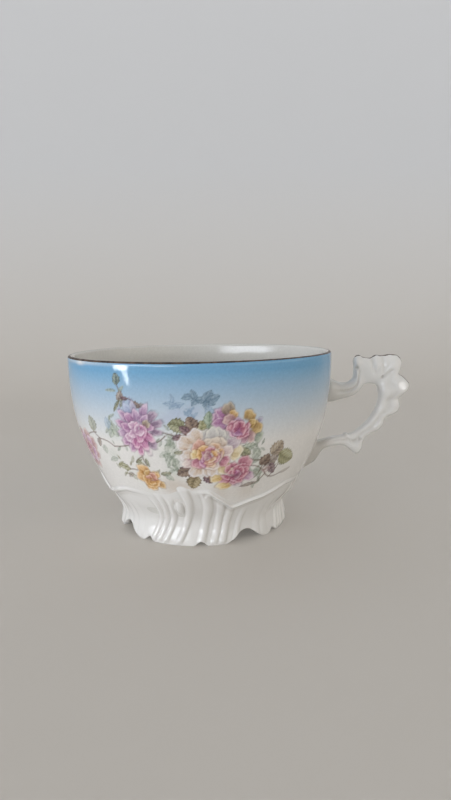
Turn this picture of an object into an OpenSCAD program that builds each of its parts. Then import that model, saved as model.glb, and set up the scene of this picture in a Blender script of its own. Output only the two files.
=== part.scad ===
// Moustache cup: a low porcelain cup with a fluted foot, a scroll handle and a moustache guard.
// Origin at the centre of the foot on the table, Z up, handle towards X, drinking side towards -Y.

/* [Bowl] */
// Outer diameter of the rim
rim_diameter = 96; // [88:0.5:106]
// Height from the table to the top of the lip
cup_height = 63.5; // [60:0.5:70]
// Diameter of the waist, where the bowl turns in above the foot
waist_diameter = 68.4; // [64:0.2:72]
// Height of the waist above the table
waist_height = 14.5; // [13.5:0.1:15.5]
// Thickness of the bowl's wall and of its lip
wall_thickness = 2.4; // [1.8:0.1:3.2]
// Thickness of the bowl's floor
floor_thickness = 3.6; // [2.5:0.1:5]
// Outer diameter of the turned ring that the bowl stands on
ring_diameter = 42; // [36:0.5:46]
// Height of the turned ring
ring_height = 6.2; // [5:0.1:7]
// Width of the turned ring's flat
ring_width = 3.4; // [2:0.1:5]

/* [Foot skirt] */
// Diameter of the skirt where its lobes meet the table
skirt_diameter = 61.8; // [59:0.2:65]
// How far the skirt draws in at its neck, on the radius
neck_depth = 0.9; // [0.4:0.1:1.6]
// Thickness of the skirt's free wall at the table
skirt_wall = 3; // [2.2:0.1:4]
// How far the skirt's upper part stands proud of the bowl
skirt_proud = 1.1; // [0.8:0.1:1.6]
// Lowest height of the skirt's scrolled upper edge
ledge_low = 14.2; // [13.5:0.1:15]
// Highest height of the skirt's scrolled upper edge
ledge_high = 20.4; // [17.5:0.1:21.5]
// Number of times the skirt's pattern repeats round the foot
skirt_repeats = 4; // [3:1:5]
// Height of the large arch between two groups of lobes
arch_height = 4.2; // [2.5:0.1:5]
// Height of the small notches between lobes
notch_height = 1.7; // [0.8:0.1:2.4]
// Height of the ribs on the skirt
rib_height = 0.7; // [0.3:0.05:1.2]

/* [Handle] */
// How far the handle stands out from the wall
handle_reach = 30.9; // [26:0.1:36]
// Height of the handle's lower tip above the table
handle_bottom = 18; // [17:0.1:19]
// Height of the handle from its lower tip to its crest
handle_rise = 43; // [39:0.1:44]
// Thickness of the handle's stem
handle_thickness = 6; // [4.5:0.1:8]

/* [Moustache guard] */
// Depth of the guard's upper face below the top of the lip
guard_drop = 6; // [4:0.1:9]
// Thickness of the guard
guard_thickness = 2.6; // [2:0.1:3.5]
// Reach of the guard from the wall to its inner edge
guard_reach = 29; // [25:0.5:34]
// Width of the drinking slot
slot_width = 35; // [28:0.5:40]
// Depth of the drinking slot from the wall
slot_depth = 10; // [8:0.1:13]
// Leg of the slip fillets under the guard
guard_fillet = 2.2; // [1.2:0.1:3]

/* [Joints and gilding] */
// Thickness of the slip between the handle and the wall
slip_thickness = 0.5; // [0.4:0.05:0.8]
// Leg of the slip fillet under the skirt
foot_fillet = 2.2; // [1.2:0.1:3]
// Clearance between pieces that are luted together
joint_clearance = 0.12; // [0.08:0.01:0.2]
// Thickness of the gilding
gilding_thickness = 0.15; // [0.1:0.01:0.25]
// Where the gilding starts on the outside of the lip, as an angle up from level
gilding_from = 30; // [0:15:45]
// Where the gilding ends on the inside of the lip, as the same angle
gilding_to = 105; // [90:15:180]

/* [Hidden] */
$fn = 96;

rim_r = rim_diameter / 2;
waist_r = waist_diameter / 2;
ring_r = ring_diameter / 2;
lip_r = wall_thickness / 2;
lip_z = cup_height - lip_r;
floor_z = ring_height + floor_thickness;

// Curves

function bezier(p, t) = pow(1 - t, 3) * p[0] + 3 * t * pow(1 - t, 2) * p[1]
                      + 3 * t * t * (1 - t) * p[2] + pow(t, 3) * p[3];
function curve(p, steps) = [for (i = [0:steps]) bezier(p, i / steps)];
function reversed(list) = [for (i = [len(list) - 1:-1:0]) list[i]];
function tail(list) = [for (i = [1:len(list) - 1]) list[i]];

// Raised cosine of the distance x from the middle of a bump with half width w
function bump(x, w) = abs(x) < w ? (1 + cos(180 * x / w)) / 2 : 0;
// Smooth step from 0 to 1
function ease(t) = let (c = min(max(t, 0), 1)) c * c * (3 - 2 * c);

// Smooth value at u through rows of [u, value], with slopes from the neighbouring rows
function row_slope(rows, i) =
    let (a = rows[max(i - 1, 0)])
    let (b = rows[min(i + 1, len(rows) - 1)])
    (b[1] - a[1]) / (b[0] - a[0]);
function row_before(rows, u, i = 0) =
    i >= len(rows) - 2 || rows[i + 1][0] > u ? i : row_before(rows, u, i + 1);
function smooth(rows, u) =
    let (i = row_before(rows, u))
    let (span = rows[i + 1][0] - rows[i][0])
    let (t = (u - rows[i][0]) / span)
    let (t2 = t * t)
    let (t3 = t2 * t)
    (2 * t3 - 3 * t2 + 1) * rows[i][1] + (t3 - 2 * t2 + t) * span * row_slope(rows, i)
    + (3 * t2 - 2 * t3) * rows[i + 1][1] + (t3 - t2) * span * row_slope(rows, i + 1);

// Bowl profile

// Direction in which the wall runs out and up from the waist
waist_slope = [0.55, 0.83];
// How strongly the profile's curves hold on to their end directions
wall_span = cup_height - waist_height;
waist_pull = 0.35 * wall_span;
rim_pull = 0.41 * wall_span;
under_pull = 0.45 * (waist_r - ring_r);
// How far the wall swells out below the rim
rim_swell = 0.3;

waist_point = [waist_r, waist_height];
waist_inner = waist_point + wall_thickness * [-waist_slope[1], waist_slope[0]];
outer_wall = curve([[rim_r, lip_z], [rim_r + rim_swell, lip_z - rim_pull],
                    waist_point + waist_pull * waist_slope, waist_point], 24);
underside = curve([waist_point, waist_point - under_pull * waist_slope,
                   [ring_r + under_pull, ring_height], [ring_r, ring_height]], 12);
inner_wall = curve([[rim_r - wall_thickness, lip_z],
                    [rim_r + rim_swell - wall_thickness, lip_z - rim_pull],
                    waist_inner + waist_pull * waist_slope, waist_inner], 24);
inner_floor = curve([waist_inner, waist_inner - under_pull * waist_slope,
                     [ring_r, floor_z], [0, floor_z]], 12);
lip_middle = [rim_r - lip_r, lip_z];
lip_step = 15;
function lip_part(from, to) = [for (a = [from:lip_step:to]) lip_middle + lip_r * [cos(a), sin(a)]];
lip_arc = lip_part(0, 180);

outside_rows = [for (p = concat(reversed(underside), tail(reversed(outer_wall)))) [p[1], p[0]]];
inside_rows = [for (p = reversed(inner_wall)) [p[1], p[0]]];
// Radius of the bowl's outside and inside at a height
function outside_r(z) = lookup(z, outside_rows);
function inside_r(z) = lookup(z, inside_rows);
// Height of the bowl's underside at a radius
function underside_z(r) = lookup(r, [for (p = reversed(underside)) [p[0], p[1]]]);

module bowl() {
    color("#a9c4dc")
    rotate_extrude()
    polygon(concat(
        [[0, ring_height], [ring_r - ring_width, ring_height], [ring_r - ring_width, 0], [ring_r, 0]],
        reversed(underside), tail(reversed(outer_wall)), tail(lip_arc), tail(inner_wall),
        tail(inner_floor)));
}

// Closed solids from rings of points

// Rings of equal length are joined side by side, and the last ring joins the first or both ends get a cap
function ring_sides(rings, count, closed) = [
    for (i = [0:rings - (closed ? 1 : 2)])
        for (k = [0:count - 1])
            let (a = i * count + k)
            let (b = i * count + (k + 1) % count)
            let (c = (i + 1) % rings * count + k)
            let (d = (i + 1) % rings * count + (k + 1) % count)
            each [[a, b, d], [a, d, c]]];
// A cap fans out from one centre point
function ring_cap(first, count, centre, flip) = [
    for (k = [0:count - 1])
        let (a = first + k)
        let (b = first + (k + 1) % count)
        flip ? [centre, b, a] : [centre, a, b]];

module closed_loop(rings) {
    polyhedron([for (r = rings) each r], ring_sides(len(rings), len(rings[0]), true));
}

module capped_sweep(rings, start, end) {
    count = len(rings[0]);
    last = len(rings) * count;
    polyhedron(concat([for (r = rings) each r], [start, end]),
               concat(ring_sides(len(rings), count, false),
                      ring_cap(0, count, last, true),
                      ring_cap(last - count, count, last + 1, false)));
}

// Foot skirt

skirt_columns = 192;
// The middle of the first arch, counted from the drinking side towards the handle
arch_angle = 28;
repeat_angle = 360 / skirt_repeats;
// Places within one repeat are written for a repeat of 90 degrees
place_scale = repeat_angle / 90;
arch_half = 16;
notch_places = [24, 60];
notch_half = 5;
rib_places = [28, 33, 38, 44, 51, 64, 71, 77, 84];
rib_half = 3;
// How far the ribs bow sideways between the skirt's edges
rib_bow = 5;
// The scrolled upper edge climbs slowly along the repeat and drops sharply at its end
ledge_climb = [-13, 28];
ledge_drop = [67, 77];
// Height over which the upper edge is rounded
ledge_round = 0.9;
// Thickness of the skirt's upper edge
ledge_edge = 0.35;
// The upper edge dips to pass below the handle's lower tip: full over the first angle to each side of
// the handle, gone at the second
dip_angles = [9, 20];
dip_clearance = 0.6;
handle_angle = 90;
skirt_steps = 8;
// The seat's steps lie closer together towards the flat of the bowl's underside
seat_steps = 6;

skirt_r = skirt_diameter / 2;
skirt_inner_r = skirt_r - skirt_wall;
// The bowl's clearance to the skirt, measured level
seat_gap = 2 * joint_clearance;
skirt_seat_z = underside_z(skirt_inner_r - seat_gap);

// Place of an angle within its repeat, from -13 up to 77 on the 90 degree scale
function place(angle) =
    let (p = (angle - arch_angle) / place_scale + 13)
    p - 90 * floor(p / 90) - 13;
// Distance between two places, round the repeat
function apart(a, b) = let (d = abs(a - b)) min(d, 90 - d);

function skirt_bottom(p) =
    arch_height * bump(apart(p, 0), arch_half)
    + max([for (n = notch_places) notch_height * bump(apart(p, n), notch_half)]);
function ledge_z(p) =
    let (rise = ease((p - ledge_climb[0]) / (ledge_climb[1] - ledge_climb[0])))
    let (fall = ease((p - ledge_drop[0]) / (ledge_drop[1] - ledge_drop[0])))
    ledge_low + (ledge_high - ledge_low) * (rise - fall);
// Height of the upper edge at an angle, with its dip below the handle
function edge_z(angle) =
    let (z = ledge_z(place(angle)))
    let (away = abs(angle - handle_angle))
    let (dip = 1 - ease((away - dip_angles[0]) / (dip_angles[1] - dip_angles[0])))
    z - dip * max(z - handle_bottom + dip_clearance, 0);
// Ribs at a place and a share s of the height, 0 at the table and 1 at the upper edge
function ribs(p, s) =
    let (q = p + rib_bow * pow(2 * s - 1, 2))
    max([for (c = rib_places) bump(apart(q, c), rib_half)]) * bump(s - 0.5, 0.62);
// Height of the neck, and how softly the skirt flares out above it
neck_z = 0.4 * waist_height;
flare_power = 1.5;
// Radius of the plain skirt: flared at the table, drawn in at the neck, proud of the bowl above the waist
function skirt_plain_r(z) =
    let (neck = skirt_r - neck_depth * ease(z / neck_z))
    let (flare = pow(min(max((z - neck_z) / (waist_height - neck_z), 0), 1), flare_power))
    let (out = waist_r + skirt_proud - skirt_r + neck_depth)
    let (wall = outside_r(max(z, waist_height)) - waist_r)
    max(neck + out * flare + wall, z > skirt_seat_z ? outside_r(z) + seat_gap + ledge_edge : 0);
function skirt_column(angle) =
    let (p = place(angle))
    let (low = skirt_bottom(p))
    let (high = edge_z(angle))
    let (outer = [for (i = [0:skirt_steps])
        let (s = i / skirt_steps)
        let (z = low + (high - ledge_round - low) * s)
        [skirt_plain_r(z) + rib_height * ribs(p, s), z]])
    let (seat = [for (i = [0:seat_steps])
        let (z = skirt_seat_z + (high - skirt_seat_z) * pow(1 - i / seat_steps, 2))
        [outside_r(z) + seat_gap, z]])
    concat(outer, [[outside_r(high) + seat_gap + ledge_edge, high]], seat, [[skirt_inner_r, low]]);

module foot_skirt() {
    columns = [for (i = [0:skirt_columns - 1])
        let (angle = 360 * i / skirt_columns)
        [for (q = skirt_column(angle)) [q[0] * sin(angle), -q[0] * cos(angle), q[1]]]];
    color("#efece6")
    closed_loop(columns);
}

module foot_slip() {
    outer = skirt_inner_r - joint_clearance;
    inner = outer - foot_fillet;
    steps = 4;
    top = [for (i = [0:steps])
        let (r = outer + (inner - outer) * i / steps)
        [r, underside_z(r) - joint_clearance]];
    color("#d8d2c8")
    rotate_extrude()
    polygon(concat([[outer, underside_z(outer) - joint_clearance - foot_fillet]], top));
}

// Handle

// Outline points out from the wall and up from the lower tip, which scale with the handle's reach and
// rise. Each list runs from the upper root to the lower leaf.
outer_points = [[0, 34.2], [3.5, 33], [6.1, 32.6], [8, 33.2], [9.3, 35], [9.3, 38.5], [9.2, 41.8],
                [10.8, 43], [12.4, 42.2], [15.3, 41.8], [17.2, 42.8], [19.5, 42.6], [22.5, 43],
                [25.4, 42.6], [27.1, 40.6], [27, 38], [26.4, 35.8], [28.5, 34.2], [30.9, 31.6],
                [30.5, 29.4], [28.4, 27.1], [27.8, 25.8], [28.8, 23.5], [28.5, 21.2], [26.2, 19.8],
                [24.4, 18.4], [24.4, 16.5], [23.5, 14.3], [21.2, 13], [19.6, 11.3], [19.4, 9.5],
                [20.1, 6.8], [19.3, 5.1], [16.4, 6.4], [13.5, 8.2], [10.8, 8.8], [7.9, 8.4],
                [5.6, 7.7], [4.4, 6.2], [3.7, 2.4], [0, 0]];
// Rows of [place along the outer points, out, up]
inner_points = [[0, 0, 25.8], [1, 4.5, 26.3], [3, 10.2, 28], [5, 12.7, 30.5], [7, 13.7, 31.8],
                [9, 15.2, 32.3], [11, 16.6, 32.2], [13, 18.1, 31.8], [15, 19.2, 30.6],
                [18, 20.2, 27.8], [21, 20.3, 25.2], [24, 19.7, 21.5], [27, 18, 17.5],
                [30, 15.2, 14.3], [33, 12.7, 12.7], [36, 6.7, 11.9], [38, 2.7, 10.8],
                [39, 1.5, 10.6], [40, 0, 10.6]];
// Rows of [place along the outer points, thickness as a share of the stem's]
thickness_rows = [[0, 1.45], [2, 1.05], [4, 0.95], [7, 0.7], [10, 0.85], [14, 0.95], [18, 1.25],
                  [21, 0.95], [26, 0.85], [32, 0.6], [36, 0.85], [38, 1.1], [40, 1.35]];
handle_sides = 14;
// Rings between two neighbouring outer points
handle_steps = 2;
// Fullness of the handle's section, where 2 is an ellipse
handle_fullness = 2.5;

outline_reach = max([for (p = outer_points) p[0]]);
outline_rise = max([for (p = outer_points) p[1]]);
handle_last = len(outer_points) - 1;
outer_out = [for (i = [0:handle_last]) [i, outer_points[i][0]]];
outer_up = [for (i = [0:handle_last]) [i, outer_points[i][1]]];
inner_out = [for (p = inner_points) [p[0], p[1]]];
inner_up = [for (p = inner_points) [p[0], p[2]]];

// Where a point of the outline lies, in x and z
function handle_spot(out, up) =
    let (z = handle_bottom + up * handle_rise / outline_rise)
    [outside_r(z) + slip_thickness + out * handle_reach / outline_reach, z];
function full(c) = sign(c) * pow(abs(c), 2 / handle_fullness);
// Point of the handle's surface at place u and angle v round the section, 0 at the outer edge,
// moved off the surface by a distance
function handle_point(u, v, off = 0) =
    let (outer = handle_spot(smooth(outer_out, u), smooth(outer_up, u)))
    let (inner = handle_spot(smooth(inner_out, u), smooth(inner_up, u)))
    let (half = handle_thickness / 2 * smooth(thickness_rows, u))
    let (across = (outer - inner) / 2)
    let (mid = (outer + inner) / 2 + (across + off * across / norm(across)) * full(cos(v)))
    [mid[0], (half + off) * full(sin(v)), mid[1]];
// The same point laid against the wall, for the two ends
function root_point(p) =
    let (r = outside_r(p[2]) + slip_thickness)
    [sqrt(r * r - p[1] * p[1]), p[1], p[2]];
function root_centre(ring) =
    let (z = (ring[0][2] + ring[len(ring) / 2][2]) / 2)
    [outside_r(z) + slip_thickness, 0, z];
function handle_ring(u) =
    [for (k = [0:handle_sides - 1])
        let (p = handle_point(u, 360 * k / handle_sides))
        u <= 0 || u >= handle_last ? root_point(p) : p];

module handle() {
    rings = [for (i = [0:handle_last * handle_steps]) handle_ring(i / handle_steps)];
    color("#f1efea")
    capped_sweep(rings, root_centre(rings[0]), root_centre(rings[len(rings) - 1]));
}

// Angle to each side of the handle within which its pads are cut out
pad_angle = 30;

// Pad of slip between the wall and one end of the handle
module handle_pad(u) {
    pad_steps = 8;
    ring = handle_ring(u);
    high = max([for (p = ring) p[2]]);
    low = min([for (p = ring) p[2]]);
    heights = [for (i = [0:pad_steps]) low + (high - low) * i / pad_steps];
    near = [for (z = heights) [outside_r(z) + joint_clearance, z]];
    far = [for (z = reversed(heights)) [outside_r(z) + slip_thickness - joint_clearance, z]];
    intersection() {
        rotate([0, 0, -pad_angle])
        rotate_extrude(angle = 2 * pad_angle)
        polygon(concat(near, far));
        rotate([90, 0, 90])
        linear_extrude(height = rim_diameter)
        polygon([for (p = ring) [p[1], p[2]]]);
    }
}

module upper_handle_slip() {
    color("#d8d2c8")
    handle_pad(0);
}

module lower_handle_slip() {
    color("#d8d2c8")
    handle_pad(handle_last);
}

// Moustache guard

guard_top = cup_height - guard_drop;
guard_bottom = guard_top - guard_thickness;
guard_r = min(inside_r(guard_top), inside_r(guard_bottom)) - joint_clearance;
// The slot and the guard's inner edge are arcs round one centre in front of the cup
slot_corner = sqrt(guard_r * guard_r - slot_width * slot_width / 4);
slot_rise = slot_depth - (guard_r - slot_corner);
slot_arc_r = (slot_width * slot_width / 4 + slot_rise * slot_rise) / (2 * slot_rise);
guard_centre = -(guard_r - slot_depth) - slot_arc_r;
guard_arc_r = slot_arc_r + guard_reach - slot_depth;
// How far the slot's cut runs past the guard's faces
cut_past = 1;
// Angle by which the slip stops short of the slot and of the guard's inner edge
slip_short = 2;

module moustache_guard() {
    color("#f1efea")
    translate([0, 0, guard_bottom])
    intersection() {
        cylinder(h = guard_thickness, r = guard_r);
        translate([0, guard_centre, 0])
        difference() {
            cylinder(h = guard_thickness, r = guard_arc_r);
            translate([0, 0, -cut_past])
            cylinder(h = guard_thickness + 2 * cut_past, r = slot_arc_r);
        }
    }
}

// Angle from the drinking side at which an arc round the guard's centre meets the wall
function wall_angle(arc_r) =
    acos((guard_r * guard_r + guard_centre * guard_centre - arc_r * arc_r)
         / (2 * guard_r * abs(guard_centre)));

module guard_slip() {
    slot_end = wall_angle(slot_arc_r) + slip_short;
    guard_end = wall_angle(guard_arc_r) - slip_short;
    top = guard_bottom - joint_clearance;
    bottom = top - guard_fillet;
    color("#d8d2c8")
    for (start = [slot_end, -guard_end]) {
        rotate([0, 0, start - 90])
        rotate_extrude(angle = guard_end - slot_end)
        polygon([[inside_r(top) - joint_clearance - guard_fillet, top],
                 [inside_r(bottom) - joint_clearance, bottom],
                 [inside_r(top) - joint_clearance, top]]);
    }
}

// Gilding

module rim_gilding() {
    over = (lip_r + gilding_thickness) / lip_r;
    under = lip_part(gilding_from, gilding_to);
    color("#8c6a34")
    rotate_extrude()
    polygon(concat(under, reversed([for (p = under) lip_middle + over * (p - lip_middle)])));
}

// Stretches of the handle's outer edge that are gilded, as places along the outer points
gilded_runs = [[6, 14], [16, 19]];
gilding_lift = 0.05;

// Thin strip over the handle's outer edge, one side of the section wide to each side
module gilded_strip(run) {
    step = 360 / handle_sides;
    rings = [for (i = [run[0] * handle_steps:run[1] * handle_steps])
        let (u = i / handle_steps)
        concat([for (k = [-1:1]) handle_point(u, k * step, gilding_lift + gilding_thickness)],
               [for (k = [1:-1:-1]) handle_point(u, k * step, gilding_lift)])];
    ends = [for (ring = [rings[0], rings[len(rings) - 1]]) (ring[1] + ring[4]) / 2];
    capped_sweep(rings, ends[0], ends[1]);
}

module handle_gilding() {
    color("#8c6a34")
    for (run = gilded_runs) {
        gilded_strip(run);
    }
}

bowl();
foot_skirt();
foot_slip();
handle();
upper_handle_slip();
lower_handle_slip();
moustache_guard();
guard_slip();
rim_gilding();
handle_gilding();
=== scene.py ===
"""A low porcelain moustache cup: glaze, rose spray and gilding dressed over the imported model.

Lengths are in millimetres and angles round the cup in degrees, counted from the drinking side (-Y)
towards the handle (+X). Meshes are turned to metres when they are made.
"""
import math

import bpy
import numpy as np
from mathutils import Matrix, Vector


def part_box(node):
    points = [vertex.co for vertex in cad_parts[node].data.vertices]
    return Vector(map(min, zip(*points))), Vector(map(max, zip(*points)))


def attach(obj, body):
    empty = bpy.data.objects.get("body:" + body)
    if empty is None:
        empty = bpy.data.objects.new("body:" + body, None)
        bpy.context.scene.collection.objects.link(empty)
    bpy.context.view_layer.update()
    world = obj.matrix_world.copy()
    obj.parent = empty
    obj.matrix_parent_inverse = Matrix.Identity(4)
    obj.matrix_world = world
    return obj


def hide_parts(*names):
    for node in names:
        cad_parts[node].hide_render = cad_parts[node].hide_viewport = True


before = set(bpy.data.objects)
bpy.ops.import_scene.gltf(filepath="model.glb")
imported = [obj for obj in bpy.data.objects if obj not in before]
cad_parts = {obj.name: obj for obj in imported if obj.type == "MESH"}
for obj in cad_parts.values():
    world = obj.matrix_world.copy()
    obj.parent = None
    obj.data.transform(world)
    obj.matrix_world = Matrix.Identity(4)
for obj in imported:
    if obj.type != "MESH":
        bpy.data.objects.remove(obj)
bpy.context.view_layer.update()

MM = 0.001


# Sizes taken from the frame

def node_box(name):
    """Lowest and highest corner of a CAD node, in millimetres."""
    low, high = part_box(name)
    return np.array(low) / MM, np.array(high) / MM


BOWL_HIGH = node_box("bowl")[1]
HANDLE_LOW = node_box("handle")[0]
GUARD_LOW, GUARD_HIGH = node_box("moustache_guard")

# The dressed bowl stays this far inside the model's box
SKIN = 0.02
RIM_R = float(BOWL_HIGH[1]) - SKIN
CUP_TOP = float(BOWL_HIGH[2])
WALL = 2.4
# The wall thins towards the lip, where its inside flares out over the last millimetres
LIP_FLARE = 0.3
LIP_FLARE_FROM = 5.0
LIP_R = (WALL - LIP_FLARE) / 2
LIP_Z = CUP_TOP - LIP_R
WAIST = np.array([34.2, 14.5])
WAIST_SLOPE = np.array([0.55, 0.83])
RING_R = 21.0
RING_WIDTH = 3.4
RING_HEIGHT = 6.2
FLOOR_Z = 9.8


# Curves and shapes

def ease(t):
    """Smooth step from 0 to 1."""
    c = np.clip(t, 0.0, 1.0)
    return c * c * (3 - 2 * c)


def bump(x, half):
    """Raised cosine of the distance x from the middle of a bump."""
    t = np.clip(np.abs(x) / half, 0.0, 1.0)
    return (1 + np.cos(np.pi * t)) / 2


def bezier(points, count):
    """Points along a cubic curve."""
    t = np.linspace(0.0, 1.0, count)[:, None]
    p = np.array(points, float)
    return (1 - t) ** 3 * p[0] + 3 * t * (1 - t) ** 2 * p[1] + 3 * t * t * (1 - t) * p[2] + t ** 3 * p[3]


def lengths_along(path):
    """Length of a path from its start to each of its points."""
    return np.r_[0.0, np.cumsum(np.linalg.norm(np.diff(path, axis=0), axis=1))]


def spaced(path, count):
    """A path with its points spread evenly along its length."""
    steps = lengths_along(path)
    wanted = np.linspace(0.0, steps[-1], count)
    return np.c_[np.interp(wanted, steps, path[:, 0]), np.interp(wanted, steps, path[:, 1])]


def smooth_rows(rows, u):
    """Smooth value at u through rows of (u, value), with slopes from the neighbouring rows."""
    known, value = np.array(rows, float).T
    slope = np.gradient(value, known, edge_order=1)
    slope[1:-1] = (value[2:] - value[:-2]) / (known[2:] - known[:-2])
    i = np.clip(np.searchsorted(known, u, side="right") - 1, 0, len(known) - 2)
    span = known[i + 1] - known[i]
    t = (u - known[i]) / span
    return ((2 * t ** 3 - 3 * t ** 2 + 1) * value[i] + (t ** 3 - 2 * t ** 2 + t) * span * slope[i]
            + (3 * t ** 2 - 2 * t ** 3) * value[i + 1] + (t ** 3 - t ** 2) * span * slope[i + 1])


# Meshes

def make_object(name, points, faces, material):
    """A smooth-shaded piece at the origin, from points in millimetres."""
    mesh = bpy.data.meshes.new(name)
    mesh.from_pydata((np.asarray(points) * MM).tolist(), [], faces)
    mesh.materials.append(material)
    mesh.validate()
    mesh.polygons.foreach_set("use_smooth", [True] * len(mesh.polygons))
    piece = bpy.data.objects.new(name, mesh)
    bpy.context.scene.collection.objects.link(piece)
    return piece


def grid_faces(rows, columns, first=0, wrap_rows=False, wrap_columns=True):
    """Quads between rows of points that are counted one row after the other."""
    i = np.arange(rows if wrap_rows else rows - 1)
    j = np.arange(columns if wrap_columns else columns - 1)
    i, j = (a.ravel() for a in np.meshgrid(i, j, indexing="ij"))
    below = first + i * columns
    above = first + (i + 1) % rows * columns
    after = (j + 1) % columns
    return np.c_[below + j, below + after, above + after, above + j].tolist()


def flipped(faces):
    """The same faces, facing the other way."""
    return [face[::-1] for face in faces]


def tube_faces(rows, columns, first=0):
    """Quads round a tube whose columns are its sections, and a cap at each end."""
    faces = grid_faces(rows, columns, first, wrap_rows=True, wrap_columns=False)
    for column in (0, columns - 1):
        cap = [first + row * columns + column for row in range(rows)]
        faces.append(cap if column else cap[::-1])
    return faces


def round_point(angle, radius, height):
    """Points at angles round the cup, in degrees."""
    a = np.radians(angle)
    return np.stack([radius * np.sin(a), -radius * np.cos(a), height + 0 * a], axis=-1)


def set_point_values(piece, name, values):
    """Stores one number or colour for each point of a piece."""
    kind = "FLOAT" if values.ndim == 1 else "FLOAT_COLOR"
    attribute = piece.data.attributes.new(name, kind, "POINT")
    if kind == "FLOAT":
        attribute.data.foreach_set("value", values.astype(np.float32))
    else:
        covering = np.c_[values, np.ones(len(values))]
        attribute.data.foreach_set("color", covering.astype(np.float32).ravel())


def put_on_cup(piece, slot, *nodes):
    """The piece rides on the cup and stands for CAD nodes."""
    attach(piece, "root")
    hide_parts(*nodes)
    return piece


# Colours and materials

def linear(hex_colour):
    """Linear RGB of an sRGB hex colour."""
    raw = np.array([int(hex_colour[i:i + 2], 16) for i in (1, 3, 5)]) / 255
    return np.where(raw <= 0.04045, raw / 12.92, ((raw + 0.055) / 1.055) ** 2.4)


def rgba(hex_colour):
    """The same with full cover, as colour sockets want it."""
    return (*linear(hex_colour), 1.0)


def join(tree, node, links):
    """Joins outputs to a node's sockets."""
    for socket, output in links.items():
        tree.links.new(output, node.inputs[socket])


def add(tree, kind, links=None, inputs=None, **settings):
    """Adds a node with its own settings, values of its sockets, and links to them."""
    node = tree.nodes.new(kind)
    for key, value in settings.items():
        setattr(node, key, value)
    for socket, value in (inputs or {}).items():
        node.inputs[socket].default_value = value
    join(tree, node, links or {})
    return node


def per_mm(size):
    """Texture scale at which a pattern's features measure about size millimetres."""
    return 1.0 / (size * MM)


def new_material(name, **sockets):
    """A material with a shader whose constant sockets are set, with the object's coordinates."""
    material = bpy.data.materials.new(name)
    material.use_nodes = True
    tree = material.node_tree
    shader = tree.nodes["Principled BSDF"]
    for socket, value in sockets.items():
        shader.inputs[socket].default_value = value
    place = add(tree, "ShaderNodeTexCoord").outputs["Object"]
    return material, tree, shader, place


GLAZE_IOR = 1.52
# Sizes in the finishes: slow ripples and fine peel of the glaze, the spacing of specks in it, clouds in the
# white body, grain of the printed colours, rubbed patches of the gilding and strokes of the slip brush
RIPPLE = 7.0
PEEL = 0.9
SPECK_SPACING = 9.0
CLOUD = 12.0
GRAIN = 0.8
RUBBED_PATCH = 3.5
BRUSH_STROKE = 1.6
# Heights of the ripples, of the peel and of the strokes
RIPPLE_HEIGHT = 0.4
PEEL_HEIGHT = 0.05
STROKE_HEIGHT = 0.1
# A speck's core and its edge, as shares of the spacing, and how dark it is
SPECK_CORE = 0.012
SPECK_EDGE = 0.03
SPECK_COVER = 0.45
SPECK_COLOUR = "#6a5a48"


def glaze_surface(tree, shader, place, colour):
    """Clear fired glaze: slow ripples and fine peel bend the reflections, and a few iron specks show."""
    ripple = add(tree, "ShaderNodeTexNoise", {"Vector": place},
                 {"Scale": per_mm(RIPPLE), "Detail": 2.0, "Roughness": 0.4})
    peel = add(tree, "ShaderNodeTexNoise", {"Vector": place},
               {"Scale": per_mm(PEEL), "Detail": 1.0, "Roughness": 0.5})
    wave = add(tree, "ShaderNodeBump", {"Height": ripple.outputs["Fac"]},
               {"Strength": 0.25, "Distance": RIPPLE_HEIGHT * MM})
    skin = add(tree, "ShaderNodeBump", {"Height": peel.outputs["Fac"], "Normal": wave.outputs["Normal"]},
               {"Strength": 0.12, "Distance": PEEL_HEIGHT * MM})
    gloss = add(tree, "ShaderNodeMapRange", {"Value": peel.outputs["Fac"]},
                {"From Min": 0.3, "From Max": 0.7, "To Min": 0.05, "To Max": 0.11})
    specks = add(tree, "ShaderNodeTexVoronoi", {"Vector": place}, {"Scale": per_mm(SPECK_SPACING)})
    spot = add(tree, "ShaderNodeMapRange", {"Value": specks.outputs["Distance"]},
               {"From Min": SPECK_CORE, "From Max": SPECK_EDGE, "To Min": SPECK_COVER, "To Max": 0.0})
    tinted = add(tree, "ShaderNodeMix", {"Factor": spot.outputs["Result"], "A": colour},
                 {"B": rgba(SPECK_COLOUR)}, data_type="RGBA")
    join(tree, shader, {"Normal": skin.outputs["Normal"], "Roughness": gloss.outputs["Result"],
                        "Base Color": tinted.outputs["Result"]})


# White porcelain under a clear glaze: softly clouded, and greyer with pooled glaze and painted shade in the
# carving, and with painted shade under the lappets' edge and at the handle's roots
def white_porcelain():
    material, tree, shader, place = new_material("white_glazed_porcelain", IOR=GLAZE_IOR)
    glaze_pool_shade = add(tree, "ShaderNodeAttribute", attribute_name="glaze_pool_shade")
    cloud = add(tree, "ShaderNodeTexNoise", {"Vector": place},
                {"Scale": per_mm(CLOUD), "Detail": 3.0, "Roughness": 0.6})
    ground = add(tree, "ShaderNodeMix", {"Factor": cloud.outputs["Fac"]},
                 {"A": rgba("#dddcda"), "B": rgba("#e6e5e3")}, data_type="RGBA")
    # Grey of pooled glaze and of painted shade
    pool_and_shade = add(tree, "ShaderNodeMix", {"Factor": glaze_pool_shade.outputs["Fac"], "A": ground.outputs["Result"]},
                 {"B": rgba("#c6c3be")}, data_type="RGBA")
    glaze_surface(tree, shader, place, pool_and_shade.outputs["Result"])
    return material


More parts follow.
